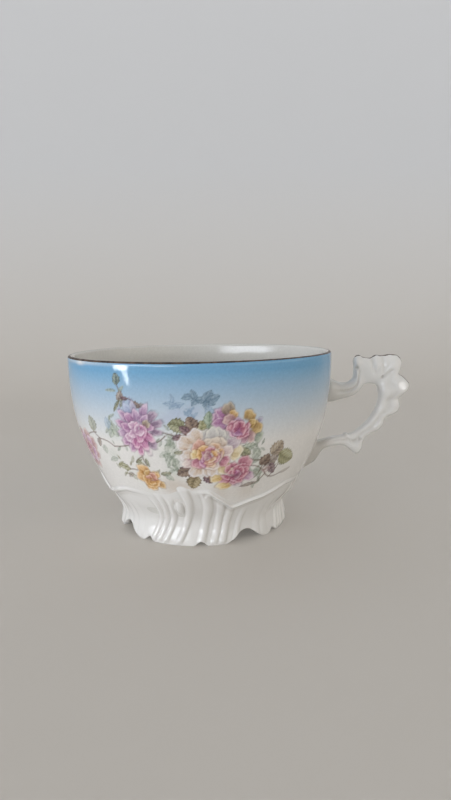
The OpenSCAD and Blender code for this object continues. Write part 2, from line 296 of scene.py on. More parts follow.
# Porcelain with printed and blown colours under the glaze, stored point by point and a little grainy
def printed_porcelain():
    material, tree, shader, place = new_material("printed_glazed_porcelain", IOR=GLAZE_IOR)
    colours = add(tree, "ShaderNodeAttribute", attribute_name="print")
    grain = add(tree, "ShaderNodeTexNoise", {"Vector": place},
                {"Scale": per_mm(GRAIN), "Detail": 3.0, "Roughness": 0.7})
    tone = add(tree, "ShaderNodeMapRange", {"Value": grain.outputs["Fac"]},
               {"From Min": 0.25, "From Max": 0.75, "To Min": 0.93, "To Max": 1.05})
    ground = add(tree, "ShaderNodeMix", {"A": colours.outputs["Color"], "B": tone.outputs["Result"]},
                 {"Factor": 1.0}, data_type="RGBA", blend_type="MULTIPLY")
    glaze_surface(tree, shader, place, ground.outputs["Result"])
    return material


# Brush gilding, burnished and then worn: brown gold with rubbed, duller patches
def worn_gold():
    material, tree, shader, place = new_material("worn_brush_gilding", Metallic=0.6)
    rub = add(tree, "ShaderNodeTexNoise", {"Vector": place},
              {"Scale": per_mm(RUBBED_PATCH), "Detail": 4.0, "Roughness": 0.65})
    share = add(tree, "ShaderNodeMapRange", {"Value": rub.outputs["Fac"]},
                {"From Min": 0.42, "From Max": 0.62})
    tint = add(tree, "ShaderNodeMix", {"Factor": share.outputs["Result"]},
               {"A": rgba("#40352f"), "B": rgba("#6c5748")}, data_type="RGBA")
    dull = add(tree, "ShaderNodeMapRange", {"Value": rub.outputs["Fac"]},
               {"From Min": 0.35, "From Max": 0.65, "To Min": 0.55, "To Max": 0.3})
    join(tree, shader, {"Base Color": tint.outputs["Result"], "Roughness": dull.outputs["Result"]})
    return material


# Fired slip: the same clay, brushed smooth and glazed over thinly, with a satin shine
def fired_slip():
    material, tree, shader, place = new_material("fired_luting_slip", IOR=GLAZE_IOR, Roughness=0.3)
    strokes = add(tree, "ShaderNodeTexNoise", {"Vector": place},
                  {"Scale": per_mm(BRUSH_STROKE), "Detail": 4.0, "Roughness": 0.6})
    tint = add(tree, "ShaderNodeMix", {"Factor": strokes.outputs["Fac"]},
               {"A": rgba("#dcd8cf"), "B": rgba("#efece5")}, data_type="RGBA")
    uneven = add(tree, "ShaderNodeBump", {"Height": strokes.outputs["Fac"]},
                 {"Strength": 0.4, "Distance": STROKE_HEIGHT * MM})
    join(tree, shader, {"Base Color": tint.outputs["Result"], "Normal": uneven.outputs["Normal"]})
    return material


WHITE = white_porcelain()
PRINTED = printed_porcelain()
GOLD = worn_gold()
SLIP = fired_slip()


# Bowl profile, as the model has it

WALL_SPAN = CUP_TOP - WAIST[1]
WAIST_PULL = 0.35 * WALL_SPAN
RIM_PULL = 0.41 * WALL_SPAN
UNDER_PULL = 0.45 * (WAIST[0] - RING_R)
RIM_SWELL = 0.3
WALL_POINTS = 200
UNDER_POINTS = 60


def wall_curve(inset, waist):
    """The wall from the waist up to the lip."""
    lip = np.array([RIM_R - inset, LIP_Z])
    return bezier([waist, waist + WAIST_PULL * WAIST_SLOPE, lip + [RIM_SWELL, -RIM_PULL], lip],
                  WALL_POINTS)


def under_curve(waist, end):
    """The turn from the waist in towards the axis, drawn level at its end."""
    pull = [UNDER_PULL if end[0] > 0 else RING_R, 0.0]
    return bezier([waist, waist - UNDER_PULL * WAIST_SLOPE, np.array(end) + pull, end], UNDER_POINTS)


WAIST_INNER = WAIST + WALL * np.array([-WAIST_SLOPE[1], WAIST_SLOPE[0]])
OUTSIDE = wall_curve(0.0, WAIST)
INSIDE = wall_curve(WALL, WAIST_INNER)
INSIDE[:, 0] += LIP_FLARE * np.clip((INSIDE[:, 1] - LIP_Z) / LIP_FLARE_FROM + 1, 0, 1) ** 2
UNDERSIDE = under_curve(WAIST, (RING_R, RING_HEIGHT))
INNER_FLOOR = under_curve(WAIST_INNER, (0.0, FLOOR_Z))
OUTSIDE_ALL = np.r_[UNDERSIDE[::-1], OUTSIDE[1:]]


def outside_r(z):
    """Radius of the bowl's outside at a height."""
    return np.interp(z, OUTSIDE_ALL[:, 1], OUTSIDE_ALL[:, 0])


def lip_arc(count):
    """The lip's half round, from the outside over the top."""
    a = np.linspace(0.0, np.pi, count)
    return np.c_[RIM_R - LIP_R + LIP_R * np.cos(a), LIP_Z + LIP_R * np.sin(a)]


# Printing and ground laying

# Heights at which the blown blue ground is full and has faded out, and how it fades between them
BLUE_FULL_Z = 60.5
BLUE_GONE_Z = 37.0
BLUE_FADE = 1.1
BLUE_GROUND = "#6fa3c8"
WHITE_GROUND = "#e3e1de"
# Where the ground is rubbed off under the lip: angle, half width in degrees, depth below the lip and share
RUBBED = [(-52.0, 32.0, 0.9, 0.4), (-54.5, 5.0, 1.4, 0.75)]
# Bare white inside the cup and under it, painted darker than the outside's white as shade inside the cup
BARE_SHADED_WHITE = "#d3d2ce"
# Width over which a printed edge blurs into the glaze
PRINT_BLUR = 0.26
# How far the printer's ink line lies inside a leaf's edge, and how uneven the stippled ink is
INK_INSET = 0.12
STIPPLE = 0.07
STIPPLE_SEED = 11
# How densely a petal's ink covers what is printed before it, and how much darker its drawn lines are
PETAL_COVER = 0.92
LINE_TONE = 0.8
VEIN_TONE = 0.9
# Along a petal's edge, a dark line outside and a pale curl inside: depth, half width and strength
EDGE_LINE = (-0.14, 0.34, 0.5)
PALE_CURL = (0.22, 0.36, 0.42)
# Waves across a petal's fan: their number, how its seed shifts them, and strength, for its edge and its face
RUFFLES = ((7, 1.3, 0.10), (15, 2.1, 0.06))
FOLDS = ((7, 1, 0.13), (17, 3, 0.07))
# Along a petal in half lengths from its middle: where its fan starts, where it melts in, where its tip starts
# and where the dark strokes from its base end, the last three with the length over which they do
FAN_BASE = -1.4
MELT_IN = (-1.1, 0.8)
TIP_START = (-0.5, 0.7)
STROKES_END = (0.3, 0.9)
# Its middle tone and how that rises to its tip, and the number and strength of its strokes
PETAL_TONE = 0.4
TONE_RISE = 0.36
STROKE_COUNT = 11
STROKE_COVER = 0.45
# Petals at least this wide are split into three: how far aside, how turned, how long and how wide each is
FAN_WIDTH = 5.5
SPLIT_ASIDE = 0.27
SPLIT_TURN = 15
SPLIT_SHORTER = 0.1
SPLIT_WIDTH = 0.58
# Height that a millimetre up the sloping wall gains, in a rose and in a split petal
ROSE_RISE = 0.85
SPLIT_RISE = 0.9
GOLDEN_ANGLE = 137.5
# A leaf's teeth per millimetre, spacing and slant of its veins, and half widths of veins, midrib and edge
TOOTH_RATE = 0.9
TOOTH_DEPTH = 0.5
VEIN_SPACING = 1.3
VEIN_SLANT = 0.8
VEIN_HALF = 0.34
MIDRIB_HALF = 0.25
LEAF_LINE_HALF = 0.3
# How strongly veins, midrib and edge are drawn, how far a leaf bends aside for its width, and the tones of
# its sunny and shaded half
VEIN_COVER = 0.42
MIDRIB_COVER = 0.5
LEAF_LINE_COVER = 0.6
LEAF_BEND = 0.10
LEAF_TONES = (0.72, 0.42)
# A fern leaflet's width for its length
LEAFLET_WIDTH = 0.36
STEM_REACH = 20.0
STEM_STEPS = 40


def blown_ground(angle, height):
    """Colour of the blue ground, which fades out downwards and is rubbed off in places under the lip."""
    fade = np.clip((height - BLUE_GONE_Z) / (BLUE_FULL_Z - BLUE_GONE_Z), 0.0, 1.0) ** BLUE_FADE
    for middle, half, depth, share in RUBBED:
        fade = fade * (1 - share * bump(angle - middle, half) * ease((height - LIP_Z) / depth + 1))
    return linear(WHITE_GROUND) + fade[:, None] * (linear(BLUE_GROUND) - linear(WHITE_GROUND))


class Print:
    """Colours of points on the bowl's outside, laid on coat after coat round one spot at a time."""

    def __init__(self, angle, height, arc):
        self.angle = angle
        self.arc = arc
        self.arc_rows = (OUTSIDE[:, 1], lengths_along(OUTSIDE))
        self.colour = blown_ground(angle, height)
        self.stipple = STIPPLE * np.random.default_rng(STIPPLE_SEED).normal(size=len(angle))
        self.near = np.arange(len(angle))

    def go_to(self, spot, reach, turn=0.0):
        """Goes to a spot (angle, height): millimetres along and across a direction for points in reach."""
        angle, height = spot
        x = np.radians(self.angle - angle) * outside_r(height)
        y = self.arc - np.interp(height, *self.arc_rows)
        self.near = np.flatnonzero(np.maximum(np.abs(x), np.abs(y)) < reach)
        x, y = x[self.near], y[self.near]
        c, s = math.cos(math.radians(turn)), math.sin(math.radians(turn))
        return c * x + s * y, c * y - s * x

    def grain(self):
        """Unevenness of the ink at the near points."""
        return self.stipple[self.near]

    def coat(self, cover, colour):
        """Covers the near points by a share each with a colour, or with a colour each."""
        self.colour[self.near] += cover[:, None] * (colour - self.colour[self.near])


def shade_between(shades, t):
    """Colour at t from 0 to 1 through a row of shades."""
    place = np.clip(t, 0.0, 1.0) * (len(shades) - 1)
    i = np.clip(place.astype(int), 0, len(shades) - 2)
    row = np.array(shades)
    return row[i] + (place - i)[:, None] * (row[i + 1] - row[i])


def moved(spot, across, up):
    """A spot moved by millimetres round the cup and by a height."""
    return spot[0] + math.degrees(across / outside_r(spot[1])), spot[1] + up


def ripples(rows, fan, seed):
    """Waves across a petal's fan."""
    return sum(strength * np.sin(count * fan + shift * seed) for count, shift, strength in rows)


def paint_haze(sheet, spot, radius, colour, cover):
    """A soft breath of colour: printed haze behind the spray, and painted warm shade low on the wall."""
    x, y = sheet.go_to(spot, radius)
    sheet.coat(cover * bump(np.hypot(x, y), radius), colour)


def paint_petal(sheet, spot, turn, length, width, shades, seed):
    """A petal about its middle, which melts in at its base and has a pale ruffled edge with a broken line."""
    along, across = sheet.go_to(spot, 0.7 * max(length, width) + 1, turn)
    a = along / (length / 2)
    b = across / (width / 2)
    fan = np.arctan2(b, a - FAN_BASE)
    depth = (1.0 - np.hypot(a, b) + ripples(RUFFLES, fan, seed)) * min(length, width) / 2
    start, over = TIP_START
    tip = ease((a - start) / over)
    broken = 0.6 + 0.4 * np.sin(5 * fan + 1.7 * seed)
    inset, half, strength = EDGE_LINE
    sheet.coat(strength * tip * broken * bump(depth - inset, half), LINE_TONE * shades[0])
    inset, half, strength = PALE_CURL
    curl = strength * bump(depth - inset, half) * tip
    tone = PETAL_TONE + TONE_RISE * a + ripples(FOLDS, fan, seed) + curl + sheet.grain()
    start, over = MELT_IN
    inside = np.clip(depth / PRINT_BLUR + 0.5, 0, 1) * ease((a - start) / over)
    sheet.coat(PETAL_COVER * inside, shade_between(shades, tone))
    end, over = STROKES_END
    strokes = np.clip(2.5 * np.sin(STROKE_COUNT * fan + seed) - 1.5, 0, 1) * ease((end - a) / over)
    sheet.coat(STROKE_COVER * strokes * inside, LINE_TONE * shades[0])


def paint_fan(sheet, spot, turn, length, width, shades, seed):
    """A broad petal, split into three that spread out from its base."""
    c, s = math.cos(math.radians(turn)), math.sin(math.radians(turn))
    for side in (-1, 1, 0):
        across = SPLIT_ASIDE * side * width
        aside = moved(spot, -s * across, SPLIT_RISE * c * across)
        paint_petal(sheet, aside, turn + SPLIT_TURN * side, (1 - SPLIT_SHORTER * abs(side)) * length,
                    SPLIT_WIDTH * width, shades, seed + 31 * side)


def out_from(middle, direction, out):
    """A spot so many millimetres out from a rose's middle."""
    a = math.radians(direction)
    return moved(middle, out * math.cos(a), ROSE_RISE * out * math.sin(a))


def paint_heart(sheet, middle, spread, count, inks, seed):
    """Short broad petals curled round a rose's heart, by the golden angle and laid from the outside in."""
    draw = np.random.default_rng(seed)
    for k in range(count, 0, -1):
        direction = GOLDEN_ANGLE * k + draw.uniform(-25, 25)
        out = spread * math.sqrt(k / count) * draw.uniform(0.8, 1.1)
        spot = out_from(middle, direction, out)
        length, width = draw.uniform(1.4, 2.6), draw.uniform(2.0, 4.2)
        paint_petal(sheet, spot, direction + draw.uniform(-35, 35), length, width,
                    SHADES[inks[draw.integers(len(inks))]], int(draw.integers(99)))


def paint_flower(sheet, middle, rings, seed):
    """A full rose: rings of petals from the outside in. Each ring is (reach, length, width, count, ink)."""
    draw = np.random.default_rng(seed)
    for reach, length, width, count, ink in rings:
        first = draw.uniform(0, 360)
        for k in range(count):
            direction = first + 360 * k / count + draw.uniform(-14, 14)
            spot = out_from(middle, direction, reach * draw.uniform(0.9, 1.1))
            paint_petal(sheet, spot, direction, length, width, SHADES[ink], int(draw.integers(99)))


def paint_leaf(sheet, spot, turn, length, width, shades, cover=1.0):
    """A pointed, toothed leaf about its middle, with a midrib and side veins."""
    along, across = sheet.go_to(spot, 0.6 * max(length, width) + 1, turn)
    along = along + length / 2
    across = across + LEAF_BEND * width * np.sin(np.pi * along / length)
    t = np.clip(along / length, 0.0, 1.0)
    teeth = 1 + TOOTH_DEPTH * (np.abs((along * TOOTH_RATE) % 1 - 0.5) - 0.25)
    half = width / 2 * np.sin(np.pi * t ** 0.85) ** 0.65 * teeth
    depth = np.where((along > 0) & (along < length), half - np.abs(across), -1.0)
    side = np.where(across > 0, *LEAF_TONES)
    off_vein = (along - VEIN_SLANT * np.abs(across)) % VEIN_SPACING - VEIN_SPACING / 2
    pale = 0.3 * bump(np.abs(across) - 0.25 * width, 0.2 * width)
    veins = VEIN_COVER * bump(off_vein, VEIN_HALF)
    tone = side + 0.2 * (t - 0.5) - veins + pale + 1.5 * sheet.grain()
    inside = cover * np.clip(depth / PRINT_BLUR + 0.5, 0, 1)
    sheet.coat(inside, shade_between(shades, tone))
    sheet.coat(MIDRIB_COVER * inside * bump(across, MIDRIB_HALF), VEIN_TONE * shades[0])
    sheet.coat(LEAF_LINE_COVER * inside * bump(depth - INK_INSET, LEAF_LINE_HALF), VEIN_TONE * shades[0])


def paint_fronds(sheet, middle, spread, count, shades, seed):
    """Small leaflets scattered round a spot, as ferns behind the flowers."""
    draw = np.random.default_rng(seed)
    for _ in range(count):
        spot = moved(middle, *draw.normal(0, spread / 2, 2))
        length = draw.uniform(1.6, 3.2)
        turn = draw.uniform(20, 160)
        paint_leaf(sheet, spot, turn, length, LEAFLET_WIDTH * length, shades, draw.uniform(0.35, 0.7))


def paint_stem(sheet, spots, width, colour, cover=0.85):
    """A thin stem from the first spot to the last, bent towards the middle one."""
    base = spots[0]
    x, y = sheet.go_to(base, STEM_REACH)
    ends = []
    for angle, height in spots:
        across = math.radians(angle - base[0]) * float(outside_r(base[1]))
        up = np.interp(height, *sheet.arc_rows) - np.interp(base[1], *sheet.arc_rows)
        ends.append(np.array([across, up]))
    nearest = np.full(len(x), np.inf)
    for t in np.linspace(0, 1, STEM_STEPS):
        spot = (1 - t) ** 2 * ends[0] + 2 * t * (1 - t) * ends[1] + t * t * ends[2]
        nearest = np.minimum(nearest, np.hypot(x - spot[0], y - spot[1]))
    sheet.coat(cover * np.clip((width / 2 - nearest) / PRINT_BLUR + 0.5, 0, 1), colour)


# Printing inks, from the base of a petal or leaf to its tip
INKS = {
    "pale_blue": "#948c8c #bcb8b6 #d2d0cc #dedad2",
    "pale_pink": "#b08b90 #d3bcba #e2d3ce #ede5df",
    "blush": "#b18c70 #d5c2b0 #dcd4d0 #e9e5e7",
    "pale_cream": "#a8917f #c8b6a6 #d8cabd #e4dacd",
    "pale_yellow": "#b39a70 #d6c498 #e4d8b8 #ede5d2",
    "pale_lilac": "#94808f #bcaab6 #d2c6cc #e0d8d8",
    "peach": "#a67558 #cca384 #dfc0a4 #e9d6c0",
    "yellow": "#b58a50 #d6b878 #e4cf9e #ece0c0",
    "orange": "#9c6a3a #c99759 #dcb47c #e9cea6",
    "gold": "#7d5f2c #aa8748 #c6a76a #dac394",
    "ochre": "#8f6a35 #b98f55 #d0ad78 #dfc8a0",
    "salmon": "#9c6156 #c08878 #d4a595 #e2c1b3",
    "magenta": "#7a3450 #a65e7a #c48a9c #dcb6c0",
    "rose": "#7a4672 #a06e96 #bb92b2 #d4b8cb",
    "rose_light": "#96688a #bd94b0 #d3b6c8 #e5d4de",
    "hot_pink": "#884270 #b26c96 #cc96b4 #e2c2d2",
    "mauve": "#7c5880 #a07c9f #bd9fba #d4bed0",
    "plum_mauve": "#644a66 #846a84 #a38ca0 #bcaaba",
    "lilac_grey": "#82809c #9a98b0 #b0aec2 #c2c0d0",
    "blue_lilac": "#8a94b4 #9da6c2 #aeb6ce #bcc4d6",
    "dusty_pink": "#8a5f68 #ae858a #c6a5a4 #d8c0ba",
    "raspberry": "#86405a #b36a80 #cb929f #dfb8bf",
    "purple": "#6c4470 #8e678f #a989a8 #c2aac0",
    "plum": "#6e3c54 #946276 #b08696 #c8a8b2",
    "tan": "#6f5f50 #8f8070 #aa9b86 #c0b4a2",
    "tan_olive": "#5a4d36 #80704f #9e8e6c #b8aa8a",
    "olive": "#54563c #787857 #949474 #aeae92",
    "olive_yellow": "#6c6a48 #8d8b63 #a6a47f #bcba9a",
    "green": "#5d6e5a #809179 #99a890 #b0bca8",
    "slate_green": "#47514f #67736d #828f86 #9ba69d",
    "brown": "#4a3934 #6a564c #857163 #9f8c7c",
    "plum_leaf": "#4a3540 #694f58 #846a70 #9e878a",
    "grey_green": "#748074 #929c8d #acb4a4 #c2c8b8",
    "taupe": "#6a5c56 #897b73 #a1948a #b6aba0",
    "slate_blue": "#567082 #6a8397 #7f96a8 #93a7b6",
    "mist_blue": "#7a92ae #8ba2bb #9bb0c5 #aabdce",
}
SHADES = {ink: [linear(tone) for tone in row.split()] for ink, row in INKS.items()}
STEM_INK = linear("#6b5648")
STEM_WIDTH = 0.40
MIST_INK = linear("#a9b4cf")
FOLIAGE_INK = linear("#bfc8ba")
# Painted warm shade low on the wall, below the spray
WARM_SHADE_TINT = linear("#d0c6bb")

# Petals of the roses given one by one, back to front: angle, height, turn, length, width and ink
ROSE_PETALS = [
    # Mauve rose on the left
    (-28.6, 48.6, 115, 5.0, 2.6, "blue_lilac"), (-26.2, 49.0, 95, 5.0, 2.4, "lilac_grey"),
    (-22.0, 48.4, 70, 5.4, 2.6, "mauve"), (-19.2, 46.8, 45, 5.2, 2.6, "plum_mauve"),
    (-17.6, 44.6, 15, 5.0, 2.4, "plum_mauve"), (-18.2, 42.2, -12, 4.6, 2.4, "plum_mauve"),
    (-30.6, 46.6, 140, 5.2, 2.8, "mauve"), (-32.0, 44.0, 165, 5.0, 2.8, "rose"),
    (-31.8, 41.2, 190, 5.0, 2.8, "mauve"), (-30.8, 38.9, 215, 5.0, 2.8, "rose"),
    (-28.4, 37.2, 240, 4.8, 2.8, "rose"), (-25.6, 36.4, 268, 4.8, 3.0, "hot_pink"),
    (-22.4, 36.4, 295, 4.6, 2.6, "pale_lilac"), (-20.4, 38.4, 320, 5.0, 2.8, "plum_mauve"),
    (-28.2, 46.0, 125, 4.6, 3.0, "rose"), (-25.2, 46.8, 98, 4.6, 3.0, "mauve"),
    (-22.2, 45.6, 60, 4.2, 2.8, "mauve"), (-29.6, 43.0, 170, 4.8, 3.2, "rose"),
    (-29.0, 40.0, 210, 4.6, 3.2, "rose_light"), (-26.6, 38.4, 245, 4.6, 3.0, "hot_pink"),
    (-23.4, 38.2, 285, 4.8, 3.0, "hot_pink"), (-21.2, 40.4, 325, 4.8, 2.8, "hot_pink"),
    (-20.6, 43.4, 15, 3.6, 2.4, "rose"), (-21.6, 44.4, 35, 3.0, 2.6, "tan"),
    (-26.8, 43.6, 150, 4.0, 3.0, "rose_light"), (-27.2, 41.2, 200, 4.2, 3.0, "rose_light"),
    (-24.6, 40.4, 260, 4.2, 3.2, "hot_pink"), (-23.2, 42.4, -10, 3.0, 2.4, "magenta"),
    # Pink and gold rose at the upper right
    (22.2, 39.6, -20, 3.2, 3.6, "grey_green"), (22.2, 44.8, 20, 2.2, 2.2, "lilac_grey"),
    (7.4, 47.4, 135, 4.8, 5.6, "rose"), (7.0, 44.7, 185, 5.0, 4.0, "rose"),
    (9.8, 49.0, 100, 4.6, 3.8, "tan"), (11.6, 47.3, 60, 3.2, 2.8, "ochre"),
    (17.8, 46.6, 75, 4.0, 4.2, "gold"), (20.8, 42.7, -10, 4.4, 4.6, "gold"),
    (18.6, 40.0, -50, 4.4, 3.4, "dusty_pink"), (14.6, 39.9, -100, 4.6, 5.2, "plum"),
    (10.4, 45.7, 170, 4.6, 3.4, "dusty_pink"), (18.8, 44.2, 30, 3.2, 2.8, "gold"),
    (11.0, 42.6, 200, 4.0, 3.6, "rose"), (13.6, 44.2, 120, 4.2, 4.0, "purple"),
    (15.6, 42.0, 0, 4.8, 4.4, "magenta"), (13.4, 42.4, 230, 2.6, 2.4, "hot_pink"),
    # Magenta rose at the lower right, with yellow petals
    (15.4, 23.5, -90, 2.6, 4.0, "pale_lilac"), (20.6, 26.0, -30, 4.0, 3.8, "rose_light"),
    (9.8, 23.5, 195, 5.6, 3.2, "yellow"), (17.6, 31.0, 40, 5.4, 4.8, "raspberry"),
    (16.6, 27.4, -20, 5.4, 5.0, "raspberry"), (13.6, 25.6, -80, 4.6, 4.6, "magenta"),
    (9.8, 25.7, 200, 4.6, 3.4, "raspberry"), (12.6, 29.0, 100, 3.8, 4.0, "raspberry"),
    (15.0, 27.6, 60, 2.6, 2.6, "hot_pink"), (6.0, 26.5, 200, 4.6, 3.8, "yellow"),
    # Great pale rose in the middle
    (9.2, 40.3, 55, 5.2, 5.0, "pale_blue"), (3.8, 41.0, 95, 5.4, 7.4, "pale_blue"),
    (-2.8, 40.8, 125, 5.0, 5.4, "blush"), (-6.8, 38.6, 155, 5.0, 5.0, "blush"),
    (-6.0, 34.4, 185, 4.8, 3.8, "blush"), (-5.8, 31.8, 205, 4.2, 3.4, "pale_pink"),
    (-2.8, 29.2, 240, 5.2, 4.8, "blush"), (4.0, 29.2, 275, 5.0, 6.0, "blush"),
    (9.4, 29.8, 305, 4.8, 4.8, "pale_yellow"), (13.2, 35.2, 0, 4.6, 5.4, "pale_yellow"),
    (12.2, 38.2, 30, 4.4, 4.2, "pale_lilac"), (4.8, 38.6, 90, 3.8, 6.6, "pale_cream"),
    (-1.4, 37.6, 140, 4.0, 4.6, "salmon"), (-2.4, 34.8, 180, 4.0, 3.4, "yellow"),
    (9.6, 35.6, 20, 4.0, 4.2, "pale_pink"), (4.4, 37.2, 95, 2.8, 4.6, "peach"),
    (-1.8, 31.9, 220, 4.4, 4.2, "raspberry"), (8.6, 32.2, 330, 3.6, 3.8, "raspberry"),
    (3.6, 31.0, 270, 3.6, 4.8, "pale_pink"), (1.2, 35.6, 130, 3.0, 3.0, "magenta"),
    (5.6, 34.8, 40, 2.8, 2.6, "orange"), (2.6, 34.2, 200, 2.4, 2.4, "magenta"),
    (2.0, 32.8, 250, 2.6, 2.4, "pale_pink"),
    # Small orange rose at the foot of the spray
    (-26.6, 28.6, 120, 5.0, 3.8, "orange"), (-28.2, 26.2, 190, 4.4, 4.6, "orange"),
    (-21.6, 27.2, 50, 3.2, 3.4, "ochre"), (-19.8, 23.6, -30, 3.4, 2.8, "ochre"),
    (-24.8, 23.0, 260, 4.4, 3.8, "orange"), (-23.8, 26.3, 100, 4.0, 4.6, "ochre"),
    (-25.6, 25.2, 200, 2.8, 2.6, "orange"), (-22.6, 24.3, -60, 3.6, 3.4, "salmon"),
]

# Hearts of the roses: angle, height, spread, number of petals and inks
HEARTS = [
    (-24.8, 42.8, 2.0, 6, ("rose", "rose_light", "hot_pink", "rose_light")),
    (13.6, 42.9, 3.2, 10, ("hot_pink", "magenta", "rose", "raspberry")),
    (14.6, 27.8, 4.0, 14, ("magenta", "raspberry", "plum", "raspberry")),
    (2.8, 34.0, 4.0, 16, ("dusty_pink", "hot_pink", "orange", "raspberry", "pale_pink", "peach", "salmon")),
    (-24.2, 25.4, 3.0, 8, ("orange", "ochre", "salmon")),
]

# The rose that wraps round to the left: its middle, and rings with reach, petal length, width, count and ink
SIDE_ROSE = (-63.0, 33.0)
SIDE_ROSE_SEED = 3
SIDE_ROSE_RINGS = [(5.6, 5.4, 4.8, 8, "dusty_pink"), (4.0, 4.6, 4.2, 7, "rose_light"),
                   (2.2, 3.8, 3.4, 5, "dusty_pink"), (0.9, 2.6, 2.2, 3, "magenta")]

# Leaves: angle, height, turn, length, width, ink and how strongly it covers
LEAVES = [
    # Behind the great rose
    (2.4, 48.6, 95, 4.0, 2.8, "mist_blue", 0.7), (2.2, 45.6, 85, 6.4, 4.0, "green", 0.9),
    (-0.8, 43.8, 75, 4.6, 3.6, "olive_yellow", 0.95), (-4.4, 44.8, 100, 5.0, 4.4, "brown", 0.95),
    (-9.6, 44.0, 165, 5.6, 4.8, "olive", 0.95), (-6.6, 42.6, 140, 4.4, 2.6, "plum_leaf", 0.95),
    (-9.4, 40.3, 190, 4.2, 2.2, "plum_leaf", 0.9), (-9.2, 35.3, 175, 3.6, 1.6, "olive", 0.75),
    (-7.6, 28.5, 200, 5.6, 4.2, "brown", 0.95), (-3.8, 24.8, 250, 5.4, 4.6, "tan_olive", 0.95),
    (2.8, 26.2, 290, 4.4, 3.4, "plum_leaf", 0.95),
    # Sprig on the right
    (18.4, 36.7, 15, 5.4, 2.8, "grey_green", 0.9), (17.6, 34.9, -30, 4.2, 3.2, "olive", 0.9),
    (32.4, 34.9, 48, 5.8, 6.0, "tan", 0.95), (39.4, 31.2, -26, 8.0, 6.0, "olive_yellow", 0.95),
    (31.0, 31.0, 30, 5.4, 4.2, "taupe", 0.9), (27.2, 31.4, 50, 4.8, 4.2, "brown", 0.95),
    (32.6, 27.6, -60, 5.0, 3.0, "plum_leaf", 0.85), (22.4, 33.8, 60, 4.0, 3.0, "grey_green", 0.55),
    (23.0, 26.8, -20, 4.6, 3.2, "grey_green", 0.5), (29.2, 27.8, 10, 3.6, 2.8, "dusty_pink", 0.35),
    (21.0, 22.8, 195, 5.4, 1.2, "taupe", 0.7), (42.0, 25.6, 15, 5.4, 1.4, "taupe", 0.4),
    # Twig above the mauve rose
    (-33.2, 58.3, 95, 3.8, 3.0, "slate_green", 0.95), (-31.9, 53.0, 60, 3.4, 2.8, "taupe", 0.9),
    (-29.8, 52.4, -10, 3.0, 1.4, "plum_leaf", 0.85), (-33.6, 49.8, 235, 4.8, 1.3, "olive", 0.75),
    (-31.2, 50.6, 250, 3.0, 1.1, "olive", 0.65), (-24.8, 50.6, -30, 3.4, 2.2, "brown", 0.85),
    (-22.6, 50.6, 10, 2.2, 1.4, "brown", 0.6), (-36.0, 54.5, 180, 4.6, 1.0, "grey_green", 0.7),
    (-30.8, 55.4, 40, 2.6, 1.1, "grey_green", 0.7),
    # Left of the mauve rose
    (-51.2, 42.6, 100, 5.4, 4.8, "olive", 0.6), (-48.4, 36.4, 250, 3.6, 2.4, "brown", 0.65),
    (-45.6, 34.2, 270, 3.4, 2.6, "grey_green", 0.5), (-36.8, 41.8, 120, 5.4, 3.2, "grey_green", 0.6),
    (-40.2, 43.8, 95, 4.0, 2.8, "mist_blue", 0.5), (-38.6, 40.4, 230, 3.8, 2.6, "grey_green", 0.6),
    (-37.0, 28.9, 170, 5.2, 2.6, "olive_yellow", 0.75), (-34.6, 26.1, 220, 3.2, 1.8, "taupe", 0.55),
    (-42.0, 31.0, 200, 4.6, 1.8, "grey_green", 0.5), (-23.6, 31.4, -75, 3.4, 1.2, "olive", 0.7),
    (-28.0, 31.6, 215, 2.8, 1.1, "olive", 0.55),
    # Between the mauve and the great rose
    (-13.0, 36.7, 250, 5.0, 2.8, "grey_green", 0.42), (-13.2, 32.4, 240, 4.4, 2.6, "grey_green", 0.38),
    (-10.8, 31.5, 280, 3.8, 2.4, "grey_green", 0.42), (-15.4, 34.5, 200, 4.0, 2.2, "grey_green", 0.35),
    (-12.8, 39.2, 80, 3.6, 2.4, "grey_green", 0.4), (-16.2, 28.0, 10, 3.8, 1.8, "olive", 0.75),
    (-14.6, 26.6, -45, 3.4, 2.0, "grey_green", 0.6),
]

# Leaves laid in blue over the ground: angle, height, turn, length and width
SHADOW_LEAVES = [
    (-5.2, 53.0, 190, 3.4, 2.0), (-3.0, 53.7, 110, 3.6, 2.0), (-2.4, 51.7, 230, 3.2, 2.2),
    (-0.4, 52.4, 0, 4.0, 2.2), (1.2, 52.6, 80, 3.8, 2.8), (2.6, 53.8, 60, 3.4, 2.2),
    (4.4, 52.8, 20, 3.8, 2.4), (1.8, 50.8, 270, 3.8, 2.0), (3.4, 51.4, -30, 3.0, 1.8),
]
MIST_LEAVES = [
    (-10.8, 52.5, 100, 3.4, 1.4), (-11.6, 50.8, 170, 4.2, 1.7), (-8.4, 50.9, 10, 3.6, 1.7),
    (-10.0, 50.2, 200, 3.6, 1.5),
]

